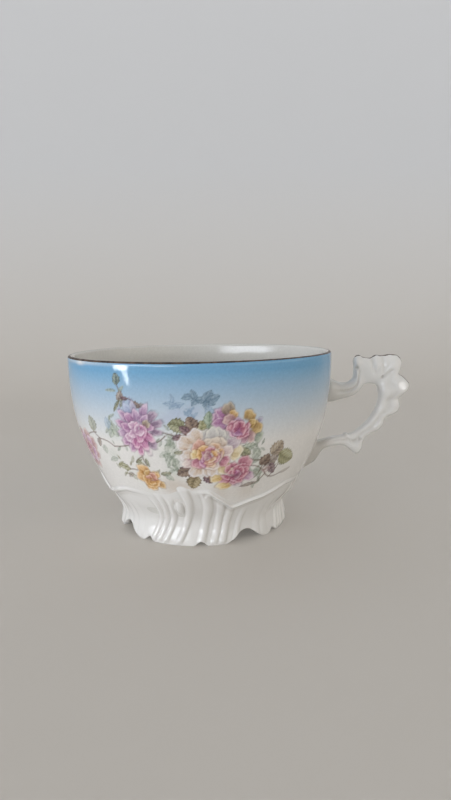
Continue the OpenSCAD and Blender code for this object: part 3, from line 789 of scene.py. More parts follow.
# Stems: two ends and, between them, the spot that bends them
STEMS = [
    ((-52.0, 41.0), (-50.0, 38.6), (-46.6, 37.8)), ((-46.6, 37.8), (-42.0, 37.8), (-39.0, 36.0)),
    ((-39.0, 36.0), (-35.0, 36.2), (-31.0, 37.0)), ((-49.0, 39.8), (-53.0, 39.6), (-57.0, 38.2)),
    ((-18.5, 42.5), (-13.0, 41.8), (-9.0, 40.6)), ((-9.0, 40.6), (-7.0, 41.0), (-5.8, 42.4)),
    ((-20.4, 38.0), (-17.5, 38.2), (-14.2, 41.0)), ((-25.0, 35.2), (-26.2, 33.4), (-24.2, 30.5)),
    ((-26.0, 33.3), (-28.0, 32.6), (-29.2, 31.4)), ((-34.2, 28.2), (-32.5, 28.8), (-30.0, 28.4)),
    ((-33.4, 57.0), (-31.4, 55.0), (-32.0, 53.0)), ((-30.0, 52.6), (-27.5, 52.6), (-24.6, 50.8)),
    ((-32.0, 52.0), (-32.6, 50.2), (-35.2, 48.7)), ((17.6, 34.2), (20.6, 31.0), (25.2, 31.6)),
    ((21.0, 29.8), (26.2, 29.4), (29.6, 25.7)), ((29.6, 25.7), (33.0, 23.4), (38.6, 25.1)),
    ((24.0, 25.2), (26.2, 27.2), (26.8, 30.2)), ((31.6, 24.4), (34.0, 25.8), (35.6, 28.8)),
    ((18.4, 22.2), (23.0, 22.0), (26.4, 23.7)), ((26.4, 23.7), (28.0, 24.6), (29.2, 26.2)),
]

# Soft colour behind the spray, and painted warm shade low on the wall: angle, height, radius and how strongly
# it covers
MIST = [(-9.0, 48.0, 4.5, 0.45), (-13.5, 46.0, 4.0, 0.4), (-3.0, 48.5, 4.0, 0.4), (-27.0, 49.0, 5.0, 0.3)]
FOLIAGE = [(-13.0, 35.5, 6.0, 0.3), (-37.5, 41.5, 5.0, 0.4), (-26.0, 32.0, 4.0, 0.35),
           (22.0, 33.0, 5.0, 0.4), (26.0, 27.0, 5.0, 0.3), (-12.0, 29.0, 4.5, 0.4), (-41.0, 33.0, 4.5, 0.3)]
# Painted warm shade low on the wall, standing in for warm reflected light and shade there
LOW_WARM_SHADE = [(-14.0, 23.4, 6.5, 0.8), (-8.0, 22.6, 5.0, 0.6), (8.0, 20.5, 6.0, 0.5), (21.0, 20.5, 7.0, 0.5)]

# Ferns behind the spray: angle, height, spread, number of leaflets and ink
FRONDS = [(-12.4, 34.7, 5.0, 14, "grey_green"), (-13.2, 39.8, 3.6, 8, "grey_green"),
          (-14.0, 30.1, 4.2, 10, "grey_green"), (-38.5, 42.0, 4.6, 10, "grey_green"),
          (-26.0, 32.2, 4.0, 6, "olive_yellow"), (-36.0, 29.0, 4.4, 12, "olive_yellow"),
          (22.2, 34.4, 3.8, 14, "grey_green"), (24.4, 27.0, 3.8, 16, "grey_green"),
          (29.0, 30.0, 4.6, 14, "taupe"), (-4.0, 47.6, 3.6, 10, "mist_blue"),
          (-28.0, 50.2, 4.0, 10, "blue_lilac")]


def decorate(sheet):
    """The whole spray, from the back to the front."""
    # Printed hazes, and painted warm shade low on the wall
    for rows, ink in ((MIST, MIST_INK), (FOLIAGE, FOLIAGE_INK), (LOW_WARM_SHADE, WARM_SHADE_TINT)):
        for angle, height, radius, cover in rows:
            paint_haze(sheet, (angle, height), radius, ink, cover)
    for rows, ink, cover in ((MIST_LEAVES, "mist_blue", 0.7), (SHADOW_LEAVES, "slate_blue", 0.8)):
        for angle, height, turn, length, width in rows:
            paint_leaf(sheet, (angle, height), turn, length, width, SHADES[ink], cover)
    for seed, (angle, height, spread, count, ink) in enumerate(FRONDS):
        paint_fronds(sheet, (angle, height), spread, count, SHADES[ink], seed)
    for spots in STEMS:
        paint_stem(sheet, spots, STEM_WIDTH, STEM_INK)
    for angle, height, turn, length, width, ink, cover in LEAVES:
        paint_leaf(sheet, (angle, height), turn, length, width, SHADES[ink], cover)
    paint_flower(sheet, SIDE_ROSE, SIDE_ROSE_RINGS, SIDE_ROSE_SEED)
    for seed, (angle, height, turn, length, width, ink) in enumerate(ROSE_PETALS):
        paint = paint_fan if width >= FAN_WIDTH else paint_petal
        paint(sheet, (angle, height), turn, length, width, SHADES[ink], seed)
    for seed, (angle, height, spread, count, inks) in enumerate(HEARTS):
        paint_heart(sheet, (angle, height), spread, count, inks, seed)


# Sizes of the foot skirt, and the lappets of the bowl that hang over it

SKIRT_R = 30.9
# Depth of the neck above the hem, and its height, along the repeat
NECK_DEPTH = [(-25.0, 1.1), (-14.0, 0.9), (14.0, 0.9), (28.0, 1.4), (48.0, 1.4), (65.0, 1.1)]
NECK_Z = [(-25.0, 6.4), (-14.0, 5.8), (14.0, 5.8), (28.0, 7.4), (48.0, 7.4), (65.0, 6.4)]
SKIRT_WALL = 3.0
SKIRT_SEAT_Z = 8.9
ARCH_ANGLE = 28.0
ARCH_HEIGHT = 4.2
ARCH_HALF = 16.0
NOTCHES = (24.0, 60.0)
NOTCH_HEIGHT = 1.7
NOTCH_HALF = 5.0
REPEAT = 90.0
SECTOR_FROM = -25.0
# Edge of the lappets that hang over the foot: place in the repeat and height
LAPPET_EDGE = [(-25.0, 20.4), (-24.0, 19.6), (-12.4, 13.5), (-3.0, 15.4), (5.0, 16.4), (12.0, 18.0),
               (19.0, 19.2), (27.0, 19.0), (34.0, 18.6), (44.0, 18.8), (56.0, 20.2), (65.0, 20.4)]
# How far the lappets stand out, how high up they melt into the bowl, and the roll along their edge
LAPPET_PROUD = 0.55
LAPPET_MELT = 7.0
ROLL_PROUD = 0.55
ROLL_HALF = 0.95
# How strongly the lappets stand out along the repeat
LAPPET_FADE = [(-25.0, 0.7), (-22.0, 1.0), (12.0, 1.0), (20.0, 0.6), (30.0, 0.12), (40.0, 0.0), (57.0, 0.0),
               (62.0, 0.4), (65.0, 0.7)]
# How far above the edge the skirt's own surface ends
SKIRT_OVER = [(-25.0, 2.4), (24.0, 2.4), (34.0, 2.0), (45.0, 2.4), (50.5, 4.8), (55.0, 3.6), (58.5, 2.2),
              (62.0, 2.8), (65.0, 2.4)]
# The skirt's outside stands this far off the bowl where they meet, and sinks so far into it at its top
SEAT_PROUD = 0.25
SUNK = 0.06
# The least share of that where no lappet hangs
SEAT_LEAST = 0.2
# How far above the edge the roll's middle lies, in its half heights, and how round the edge is
ROLL_ABOVE = 0.6
EDGE_ROUNDNESS = 0.6
# Heights of the foot's ribs, then each rib's places at those heights, half width, height and top
RIB_LEVELS = (2.0, 5.7, 13.0, 18.5, 23.5)
RIBS = [((28.2, 31.0, 35.6, 33.0, 28.0), 2.3, 0.55, 19.0), ((32.8, 35.5, 39.8, 38.2, 33.0), 2.3, 0.65, 20.6),
        ((37.4, 40.2, 44.2, 43.4, 39.0), 2.3, 0.70, 19.8), ((46.4, 49.4, 53.8, 53.6, 50.8), 2.6, 0.75, 25.0),
        ((60.3, 61.9, 64.2, 63.3, 60.0), 2.8, 0.80, 22.5), ((68.5, 70.4, 71.5, 70.4, 69.0), 2.6, 0.65, 18.0),
        ((73.5, 75.3, 76.8, 75.0, 74.0), 2.7, 0.75, 15.4), ((82.0, 84.2, 86.0, 86.0, 86.0), 2.2, 0.45, 13.8),
        ((98.0, 98.6, 99.0, 99.0, 99.0), 3.2, 0.16, 14.0),
        ((105.0, 105.4, 106.0, 106.0, 106.0), 3.2, 0.18, 15.0)]
# Heights over which ribs rise and run out, their roundness, and half the width of pooled glaze and painted
# shade beside them
RIB_RISE = 1.6
RIB_RUNOUT = 4.0
RIB_ROUNDNESS = 0.9
POOL_SHADE_HALF = 1.2
# The wide flute: its places at the same heights, half width, depth and top
FLUTE = ((52.8, 54.8, 57.6, 58.6, 58.0), 3.4, 0.35, 20.8)
FLUTE_RISE = 3.0
FLUTE_RUNOUT = 1.0
# Share of pooled glaze and painted shade in the flute
FLUTE_POOL_SHADE = 0.15
# The volute's knob: place, height, half width in degrees, half height and how far it stands out
KNOB = (48.5, 13.9, 2.9, 3.1, 1.25)
KNOB_ROUNDNESS = 0.5
# The moat round it: its distance and half width in half widths of the knob, depth, and share of pooled glaze
# and painted shade
MOAT = (1.15, 0.4, 0.15, 0.3)
# Rounded heads of the ribs, and pits beside them, in the same way
RIB_HEADS = [(65.6, 20.2, 2.4, 1.7, 0.55), (62.6, 19.9, 1.5, 1.7, -0.45), (54.4, 21.0, 2.2, 2.6, 0.2),
             (50.2, 17.4, 1.5, 1.4, -0.4)]
# Share of the ribs that the lappets hide, and how fast the carving ends at the skirt's top
LAPPETS_HIDE = 0.85
CARVING_END = 1.6
# Painted shade under the lappets' edge: how far below it, half height and share; and the share of pooled
# glaze and painted shade in the carving
UNDER_LAPPET_SHADE = (1.1, 1.0, 0.6)
CARVING_POOL_SHADE = 0.55
# The lappets show on the bowl from so far below the skirt's top, and come out over so much
SHOWN_BELOW = 1.2
SHOWN_OVER = 0.8
# Steps over which the corners of rows along the repeat are rounded
CORNER_STEPS = (-1.2, -0.6, 0.0, 0.6, 1.2)
# Columns of a repeat, rows below, on and above the lappets' edge, on the seat and down the free inside
SKIRT_COLUMNS = 200
ROWS_BELOW = 50
ROWS_EDGE = 8
ROWS_ABOVE = 20
SEAT_ROWS = 10
FREE_ROWS = 6
# Height over which the lappets' edge steps out
EDGE_HEIGHT = 0.5
# How far inside the bowl's outside the skirt's back lies, and how near points have to be to be welded
SEAT_INSET = 0.3
WELD = 0.02
# The skirt gives way to the handle within these angles beside it, wholly and at last, and stays so far below
DIP_ANGLES = (9.0, 20.0)
DIP_CLEARANCE = 0.6
HANDLE_ANGLE = 90.0


def apart(a, b):
    """Signed distance between two places, round the repeat."""
    return (a - b + REPEAT / 2) % REPEAT - REPEAT / 2


def rows_at(rows, p):
    """Values of rows (place, value) at places, with their corners a little rounded."""
    place, value = np.array(rows).T
    return np.mean([np.interp(p + d, place, value, period=REPEAT) for d in CORNER_STEPS], axis=0)


def skirt_bottom(p):
    """Height of the skirt's lower edge, with its arch and notches."""
    notch = np.max([NOTCH_HEIGHT * bump(apart(p, n), NOTCH_HALF) for n in NOTCHES], axis=0)
    return ARCH_HEIGHT * bump(apart(p, 0.0), ARCH_HALF) + notch


def skirt_top(p):
    """Height at which the skirt's own surface ends."""
    return rows_at(LAPPET_EDGE, p) + rows_at(SKIRT_OVER, p)


def lappet_swell(p, z):
    """How far the lappets swell out of the bowl's wall."""
    height = (rows_at(LAPPET_EDGE, p) + LAPPET_MELT - z) / LAPPET_MELT
    return LAPPET_PROUD * rows_at(LAPPET_FADE, p) * ease(height)


def near_handle(angle):
    """Share by which the skirt and its lappets give way to the handle's lower end."""
    off = np.abs((angle - HANDLE_ANGLE + 180) % 360 - 180)
    return 1 - ease((off - DIP_ANGLES[0]) / (DIP_ANGLES[1] - DIP_ANGLES[0]))


# Bowl

# The spray's side has fine columns, and the back has coarse ones
PRINT_FROM = -100.0
PRINT_TO = 66.0
FINE_STEP = 0.4
BACK_STEP = 2.0
FINE_ROWS = 158
# The rest of the bowl keeps one in so many of the fine columns
COARSE_EVERY = 6
# Rows round the lip, and those of them that the blue ground still covers
LIP_ROWS = 19
LIP_BLUE_ROWS = 6
INSIDE_ROWS = 40
FLOOR_ROWS = 24
UNDER_ROWS = 16
# Bevel of the foot ring's edges, and the fillet inside it
RING_EDGE = 0.5
RING_FILLET = 1.0


def bowl_columns():
    """Angles of the columns, and which of them the plain surfaces keep."""
    fine = np.arange(PRINT_FROM, PRINT_TO, FINE_STEP)
    back = np.arange(PRINT_TO, PRINT_FROM + 360, BACK_STEP)
    kept = np.r_[np.arange(0, len(fine), COARSE_EVERY), len(fine) + np.arange(len(back))]
    return np.r_[fine, back], kept


def revolve(path, angles):
    """Rows of points of a path (radius, height) turned to angles."""
    return np.concatenate([round_point(angles, r, z) for r, z in path])


def step_down_faces(fine_first, coarse_first, kept, columns, up):
    """Faces between a fine row and a coarse one that keeps only some of its columns."""
    faces = []
    for k, start in enumerate(kept):
        after = (k + 1) % len(kept)
        stop = kept[after] if after else columns
        fine = [fine_first + i % columns for i in range(start, stop + 1)]
        coarse = [coarse_first + after, coarse_first + k]
        faces.append(fine + coarse if up else (fine + coarse)[::-1])
    return faces


def pole_faces(row_first, columns, pole, up):
    """Triangles from a row to a point on the axis."""
    return [[row_first + k, row_first + (k + 1) % columns, pole][::1 if up else -1] for k in range(columns)]


def ring_path():
    """Section of the foot ring, from its outside under its edge and up inside, and in under the floor."""
    inner = RING_R - RING_WIDTH
    bevel = RING_EDGE / 3
    corner = 0.3 * RING_FILLET
    return [[RING_R, RING_EDGE + RING_FILLET], [RING_R, RING_EDGE], [RING_R - bevel, bevel],
            [RING_R - RING_EDGE, 0], [inner + RING_EDGE, 0], [inner + bevel, bevel], [inner, RING_EDGE],
            [inner, RING_HEIGHT - RING_FILLET], [inner - corner, RING_HEIGHT - corner],
            [inner - RING_FILLET, RING_HEIGHT], [inner / 2, RING_HEIGHT]]


def with_lappets(points):
    """The bowl's outside with its lappets, where it shows above the skirt."""
    angle = np.degrees(np.arctan2(points[:, 0], -points[:, 1]))
    place, z = angle - ARCH_ANGLE, points[:, 2]
    shown = ease((z - skirt_top(place) + SHOWN_BELOW) / SHOWN_OVER) * (1 - near_handle(angle))
    scale = 1 + shown * lappet_swell(place, z) / outside_r(z)
    return points * np.c_[scale, scale, np.ones(len(z))]


def make_bowl():
    """Turned bowl: printed outside, plain lip, inside, floor and foot ring."""
    angles, kept = bowl_columns()
    wall = spaced(OUTSIDE, FINE_ROWS)
    above = np.r_[lip_arc(LIP_ROWS)[1:], spaced(INSIDE[::-1], INSIDE_ROWS)[1:],
                  spaced(INNER_FLOOR, FLOOR_ROWS)[1:-1]]
    below = np.r_[spaced(UNDERSIDE, UNDER_ROWS)[1:], ring_path()]
    points = [with_lappets(revolve(wall, angles)), revolve(above, angles[kept]), revolve(below, angles[kept]),
              [[0, 0, FLOOR_Z], [0, 0, RING_HEIGHT]]]
    columns, few = len(angles), len(kept)
    above_first = FINE_ROWS * columns
    below_first = above_first + len(above) * few
    poles = below_first + len(below) * few
    faces = grid_faces(FINE_ROWS, columns)
    faces += grid_faces(len(above), few, above_first)
    faces += flipped(grid_faces(len(below), few, below_first))
    faces += step_down_faces((FINE_ROWS - 1) * columns, above_first, kept, columns, True)
    faces += step_down_faces(0, below_first, kept, columns, False)
    faces += pole_faces(below_first - few, few, poles, True)
    faces += pole_faces(poles - few, few, poles + 1, False)
    piece = make_object("porcelain_bowl", np.concatenate(points), faces, PRINTED)
    arc = np.linspace(0, lengths_along(OUTSIDE)[-1], FINE_ROWS)
    turned = np.where(angles > 180, angles - 360, angles)
    sheet = Print(np.tile(turned, FINE_ROWS), np.repeat(wall[:, 1], columns), np.repeat(arc, columns))
    decorate(sheet)
    # Bare white, painted darker as shade inside the cup
    plain = np.tile(linear(BARE_SHADED_WHITE), (len(above) * few + len(below) * few + 2, 1))
    plain[:LIP_BLUE_ROWS * few] = np.tile(blown_ground(turned[kept], CUP_TOP), (LIP_BLUE_ROWS, 1))
    set_point_values(piece, "print", np.r_[np.clip(sheet.colour, 0, 1), plain])
    return put_on_cup(piece, "glazed_porcelain", "bowl")


# Rim gilding

# The gilt band on the lip, as angles round the lip from its outside over its top
GILT_FROM = 20.0
GILT_TO = 96.0
GILT_THICK = 0.10
GILT_SUNK = 0.06
GILT_COLUMNS = 480
GILT_ROWS = 9
GILT_ROUNDNESS = 0.5
GILT_SEED = 7
# How unevenly its edges were laid, in degrees round the lip, the waves in that, and how many columns the two
# edges' waves are apart
GILT_WOBBLE = 2.2
WOBBLE_WAVES = range(3, 60, 2)
WOBBLE_SHIFT = 97
# Where the line is rubbed narrower: middle and half width in degrees round the cup, and share
GILT_RUBBED = (45, 70, 0.45)


def make_rim_gilding():
    """A thin gilt line on the lip, painted by hand and rubbed narrower on the handle's side."""
    angles = np.linspace(0, 360, GILT_COLUMNS, endpoint=False)
    draw = np.random.default_rng(GILT_SEED)
    wobble = sum(draw.normal() / k * np.sin(np.radians(k * angles) + draw.uniform(0, 6))
                 for k in WOBBLE_WAVES)
    middle, half, share = GILT_RUBBED
    rubbed = share * bump(angles - middle, half)
    first = GILT_FROM + GILT_WOBBLE * wobble + rubbed * (GILT_TO - GILT_FROM) / 2
    last = GILT_TO + GILT_WOBBLE * np.roll(wobble, WOBBLE_SHIFT)
    share = np.linspace(0, 1, GILT_ROWS)[:, None]
    lip = np.radians(first + (last - first) * share)
    crown = GILT_THICK * np.sin(np.pi * share) ** GILT_ROUNDNESS - GILT_SUNK
    rows = []
    for a, rise in ((lip, crown), (lip[::-1], np.full((GILT_ROWS, 1), -2 * GILT_SUNK))):
        reach = LIP_R + rise
        rows.append(round_point(angles, RIM_R - LIP_R + reach * np.cos(a), LIP_Z + reach * np.sin(a)))
    points = np.concatenate(rows).reshape(-1, 3)
    faces = grid_faces(2 * GILT_ROWS, GILT_COLUMNS, wrap_rows=True)
    piece = make_object("rim_gilt_line", points, faces, GOLD)
    return put_on_cup(piece, "gilding", "rim_gilding")


# Foot skirt

def from_line(p, z, places):
    """Degrees from a rib or flute that bends through places at the ribs' levels."""
    return apart(p, smooth_rows(np.c_[RIB_LEVELS, places], z))


def from_boss(p, z, place, height, half, half_height):
    """Distance from the middle of a boss, in its half widths and half heights."""
    return np.hypot(apart(p, place) / half, (z - height) / half_height)


def skirt_relief(p, z):
    """Height of ribs, flute and knob, and how much pooled glaze and painted shade lie beside them."""
    ribs = np.zeros(np.broadcast(p, z).shape)
    beside = np.zeros_like(ribs)
    for places, half, height, top in RIBS:
        x = from_line(p, z, places)
        window = ease(z / RIB_RISE) * ease((top - z) / RIB_RUNOUT)
        ribs = np.maximum(ribs, height * window * np.clip(1 - (x / half) ** 2, 0, 1) ** RIB_ROUNDNESS)
        beside = np.maximum(beside, height * window * bump(np.abs(x) - half, POOL_SHADE_HALF))
    places, half, depth, top = FLUTE
    flute = bump(from_line(p, z, places), half) * ease((top - z) / FLUTE_RUNOUT) * ease(z / FLUTE_RISE)
    *boss, proud = KNOB
    out = from_boss(p, z, *boss)
    knob = bump(out, 1.0) ** KNOB_ROUNDNESS
    off, half, moat_depth, moat_pool_shade = MOAT
    moat = bump(out - off, half)
    heads = np.zeros_like(ribs)
    for *boss, height in RIB_HEADS:
        heads += height * bump(from_boss(p, z, *boss), 1.0)
    # Pooled glaze and painted shade beside the ribs, in the flute, round the knob and in the pits
    pool_and_shade = np.clip(beside - ribs, 0, 1) + FLUTE_POOL_SHADE * flute + moat_pool_shade * moat + np.clip(-heads, 0, 1)
    carved = np.maximum(ribs - depth * flute, proud * knob) - moat_depth * moat + heads
    return carved, np.clip(pool_and_shade, 0, 1)


def skirt_radius(p, z):
    """Radius of the skirt's outside, and its pooled glaze and painted shade."""
    depth, neck_z = rows_at(NECK_DEPTH, p), rows_at(NECK_Z, p)
    edge = rows_at(LAPPET_EDGE, p)
    fade = rows_at(LAPPET_FADE, p)
    seat = SEAT_PROUD * (SEAT_LEAST + (1 - SEAT_LEAST) * fade)
    neck = SKIRT_R - depth * ease(z / neck_z)
    rise = WAIST[0] + seat - SKIRT_R + depth
    slope = WAIST_SLOPE[0] / WAIST_SLOPE[1] * (WAIST[1] - neck_z) / rise
    t = np.clip((z - neck_z) / (WAIST[1] - neck_z), 0, 1)
    cove = neck + rise * ((3 - slope) * t ** 2 + (slope - 2) * t ** 3)
    cove = cove + np.where(z > WAIST[1], outside_r(z) - WAIST[0], 0.0)
    over = rows_at(SKIRT_OVER, p)
    above = ease((z - edge + EDGE_HEIGHT) / EDGE_HEIGHT) ** EDGE_ROUNDNESS
    melt = ease((edge + over - z) / over)
    relief, pool_and_shade = skirt_relief(p, z)
    roll = ROLL_PROUD * fade * bump(z - edge - ROLL_ABOVE * ROLL_HALF, ROLL_HALF)
    carved = relief * (1 - LAPPETS_HIDE * above * fade) * np.minimum(1, melt * CARVING_END)
    sunk = (seat + SUNK) * (1 - melt)
    # Painted shade under the lappets' edge, and pooled glaze with painted shade in the carving
    below, half, share = UNDER_LAPPET_SHADE
    shade = share * fade * bump(z - edge + below, half) + CARVING_POOL_SHADE * pool_and_shade * (1 - above * fade)
    return cove + above * lappet_swell(p, z) + roll * above + carved - sunk, np.clip(shade, 0, 1)


def skirt_repeat():
    """Points of one repeat as rows of closed columns, and their pooled glaze and painted shade."""
    p = np.linspace(SECTOR_FROM, SECTOR_FROM + REPEAT, SKIRT_COLUMNS + 1)
    low, edge, high = skirt_bottom(p), rows_at(LAPPET_EDGE, p), skirt_top(p)
    under = edge - EDGE_HEIGHT
    spread = [(low, under, ROWS_BELOW), (under, edge, ROWS_EDGE), (edge, high, ROWS_ABOVE)]
    z = np.concatenate([start + (end - start) * np.linspace(0, 1, rows, endpoint=end is high)[:, None]
                        for start, end, rows in spread])
    r, pool_and_shade = skirt_radius(p, z)
    seat_z = high + (SKIRT_SEAT_Z - high) * np.linspace(0.0, 1.0, SEAT_ROWS)[1:, None]
    free_z = SKIRT_SEAT_Z + (low - SKIRT_SEAT_Z) * np.linspace(0.0, 1.0, FREE_ROWS)[1:, None]
    radii = np.r_[r, outside_r(seat_z) - SEAT_INSET, np.full(free_z.shape, SKIRT_R - SKIRT_WALL)]
    points = round_point(ARCH_ANGLE + p, radii, np.r_[z, seat_z, free_z])
    return points, np.r_[pool_and_shade, np.zeros((len(radii) - len(r), len(p)))]


def make_skirt():
    """Moulded foot: one carved repeat, copied round the cup and lowered under the handle."""
    points, glaze_pool_shade = skirt_repeat()
    rows, columns = points.shape[:2]
    faces = grid_faces(rows, columns, wrap_rows=True, wrap_columns=False)
    sector = make_object("skirt_sector", points.reshape(-1, 3), faces, WHITE)
    set_point_values(sector, "glaze_pool_shade", glaze_pool_shade.ravel())
    piece = repeat_round("foot_skirt_relief", sector, int(360 / REPEAT), WHITE)
    lower_under_handle(piece)
    return put_on_cup(piece, "glazed_porcelain", "foot_skirt")


def repeat_round(name, sector, count, material):
    """Repeats a sector round the cup's axis and welds its seams."""
    tree = bpy.data.node_groups.new(name + "_nodes", "GeometryNodeTree")
    tree.interface.new_socket("Geometry", in_out="INPUT", socket_type="NodeSocketGeometry")
    sizes = {}
    for label, kind, value in (("Count", "NodeSocketInt", count), ("Weld", "NodeSocketFloat", WELD * MM)):
        socket = tree.interface.new_socket(label, in_out="INPUT", socket_type=kind)
        sizes[socket.identifier] = value
    tree.interface.new_socket("Geometry", in_out="OUTPUT", socket_type="NodeSocketGeometry")
    given = add(tree, "NodeGroupInput")
    spots = add(tree, "GeometryNodePoints", {"Count": given.outputs["Count"]})
    index = add(tree, "GeometryNodeInputIndex")
    step = add(tree, "ShaderNodeMath", {1: given.outputs["Count"]}, {0: math.tau}, operation="DIVIDE")
    turn = add(tree, "ShaderNodeMath", {0: index.outputs[0], 1: step.outputs[0]}, operation="MULTIPLY")
    spin = add(tree, "ShaderNodeCombineXYZ", {"Z": turn.outputs[0]})
    copies = add(tree, "GeometryNodeInstanceOnPoints",
                 {"Points": spots.outputs[0], "Instance": given.outputs["Geometry"],
                  "Rotation": spin.outputs[0]})
    real = add(tree, "GeometryNodeRealizeInstances", {"Geometry": copies.outputs["Instances"]})
    weld = add(tree, "GeometryNodeMergeByDistance",
               {"Geometry": real.outputs["Geometry"], "Distance": given.outputs["Weld"]})
    dressed = add(tree, "GeometryNodeSetMaterial", {"Geometry": weld.outputs["Geometry"]},
                  {"Material": material})
    add(tree, "NodeGroupOutput", {"Geometry": dressed.outputs["Geometry"]})
    return from_nodes(name, sector, tree, sizes)


def from_nodes(name, source, tree, sizes):
    """Runs a node tree on an object and keeps the result as a plain mesh in a new piece."""
    modifier = source.modifiers.new("nodes", "NODES")
    modifier.node_group = tree
    for identifier, value in sizes.items():
        modifier[identifier] = value
    bpy.context.view_layer.update()
    evaluated = source.evaluated_get(bpy.context.evaluated_depsgraph_get())
    mesh = bpy.data.meshes.new_from_object(evaluated)
    source.modifiers.remove(modifier)
    bpy.data.objects.remove(source)
    mesh.name = name
    mesh.polygons.foreach_set("use_smooth", [True] * len(mesh.polygons))
    piece = bpy.data.objects.new(name, mesh)
    bpy.context.scene.collection.objects.link(piece)
    return piece


def lower_under_handle(piece):
    """The skirt's upper edge dips to pass below the handle's lower tip."""
    co = np.zeros(len(piece.data.vertices) * 3)
    piece.data.vertices.foreach_get("co", co)
    co = co.reshape(-1, 3) / MM
    angle = np.degrees(np.arctan2(co[:, 0], -co[:, 1]))
    high = skirt_top(angle - ARCH_ANGLE)
    dip = near_handle(angle)
    drop = dip * np.maximum(high - HANDLE_LOW[2] + DIP_CLEARANCE, 0)
    share = np.clip((co[:, 2] - SKIRT_SEAT_Z) / (high - SKIRT_SEAT_Z), 0, 1)
    radius = np.hypot(co[:, 0], co[:, 1])
    lowered = co[:, 2] - drop * share
    swell = lappet_swell(angle - ARCH_ANGLE, co[:, 2])
    inward = radius + np.where(share > 0, outside_r(lowered) - outside_r(co[:, 2]) - dip * swell * share, 0.0)
    placed = np.c_[co[:, 0] * inward / radius, co[:, 1] * inward / radius, lowered]
    piece.data.vertices.foreach_set("co", (placed * MM).ravel())
    piece.data.update()


# Handle

# The handle's outer edge, numbered along it, as distance out from the wall and height; its inner edge at
# such numbers; and its thickness there as a share
OUTER_POINTS = [(0, 34.2), (3.5, 33), (6.1, 32.6), (8, 33.2), (9.3, 35), (9.3, 38.5), (9.2, 41.8),
                (10.8, 43), (12.4, 42.2), (15.3, 41.8), (17.2, 42.8), (19.5, 42.6), (22.5, 43),
                (25.4, 42.6), (27.1, 40.6), (27, 38), (26.4, 35.8), (28.5, 34.2), (30.9, 31.6),
                (30.5, 29.4), (28.4, 27.1), (27.8, 25.8), (28.8, 23.5), (28.5, 21.2), (26.2, 19.8),
                (24.4, 18.4), (24.4, 16.5), (23.5, 14.3), (21.2, 13), (19.6, 11.3), (19.4, 9.5),
                (20.1, 6.8), (19.3, 5.1), (16.4, 6.4), (13.5, 8.2), (10.8, 8.8), (7.9, 8.4),
                (5.6, 7.7), (4.4, 6.2), (3.7, 2.4), (0, 0)]
INNER_POINTS = [(0, 0, 25.8), (1, 4.5, 26.3), (3, 10.2, 28), (5, 12.7, 30.5), (7, 13.7, 31.8),
                (9, 15.2, 32.3), (11, 16.6, 32.2), (13, 18.1, 31.8), (15, 19.2, 30.6),
                (18, 20.2, 27.8), (21, 20.3, 25.2), (24, 19.7, 21.5), (27, 18, 17.5),
                (30, 15.2, 14.3), (33, 12.7, 12.7), (36, 6.7, 11.9), (38, 2.7, 10.8),
                (39, 1.5, 10.6), (40, 0, 10.6)]
THICKNESS_ROWS = [(0, 1.45), (2, 1.05), (4, 0.95), (7, 0.7), (10, 0.85), (14, 0.95), (18, 1.25),
                  (21, 0.95), (26, 0.85), (32, 0.6), (36, 0.85), (38, 1.1), (40, 1.35)]
HANDLE_THICKNESS = 6.0
HANDLE_FULLNESS = 2.5
# Extra fullness of the inner edge along the loop, and that stretch: start, rise, end and fall
LOOP_FULLNESS = 2.5
LOOP_RUN = (12, 4, 38, 3)
# How much wider the handle gets at its upper and lower root, and over what length
UPPER_FLARE = 0.12
UPPER_LENGTH = 1.2
LOWER_FLARE = 0.10
LOWER_LENGTH = 0.8
ROOT_SUNK = 0.15
HANDLE_GAP = 0.5
HANDLE_RINGS = 401
HANDLE_SIDES = 72
HANDLE_LAST = len(OUTER_POINTS) - 1


def handle_spot(out, up):
    """Spots at distances out from the bowl's wall and heights above the handle's lower end."""
    z = HANDLE_LOW[2] + up
    return np.stack([outside_r(z) + HANDLE_GAP + out, z], axis=-1)


def handle_edges(u):
    """Outer and inner edge of the handle, as x and z, at places along it."""
    number = np.arange(HANDLE_LAST + 1)
    outer = [smooth_rows(np.c_[number, np.array(OUTER_POINTS, float)[:, k]], u) for k in (0, 1)]
    inner = [smooth_rows(np.array(INNER_POINTS, float)[:, [0, k]], u) for k in (1, 2)]
    return handle_spot(*outer), handle_spot(*inner)


def stretch(u, start, rise, end, fall):
    """One along a stretch, easing in from its start and out towards its end."""
    return ease((u - start) / rise) * ease((end - u) / fall)


def section(u, v):
    """Share of the width and of the thickness round the handle's section, fuller on the loop's inside."""
    power = 2 / (HANDLE_FULLNESS + (LOOP_FULLNESS * stretch(u, *LOOP_RUN))[:, None] * (np.cos(v) < 0))
    return [np.sign(part) * np.abs(part) ** power for part in (np.cos(v), np.sin(v))]


# Carving of the handle's sides. Grooves along it, on the loop and the stem: share of the way from the inner
# to the outer edge, half width, depth, and the stretch. The loop's outer part is set back in the same way.
LONG_GROOVES = [(0.42, 0.2, 0.55, 13, 3, 37, 3), (0.5, 0.14, 0.75, 0.3, 1.2, 7.0, 1.5)]
SET_BACK = (0.32, 0.3, 0.15, 15, 2, 31, 3)
# Veins across the crest: places along the handle, half width, depth, and the stretch across
VEINS = (9.4, 11.0, 12.6)
CREST_HALF = 0.5
CREST_DEPTH = 0.14
CREST_ACROSS = (0.25, 0.3, 1.02, 0.1)
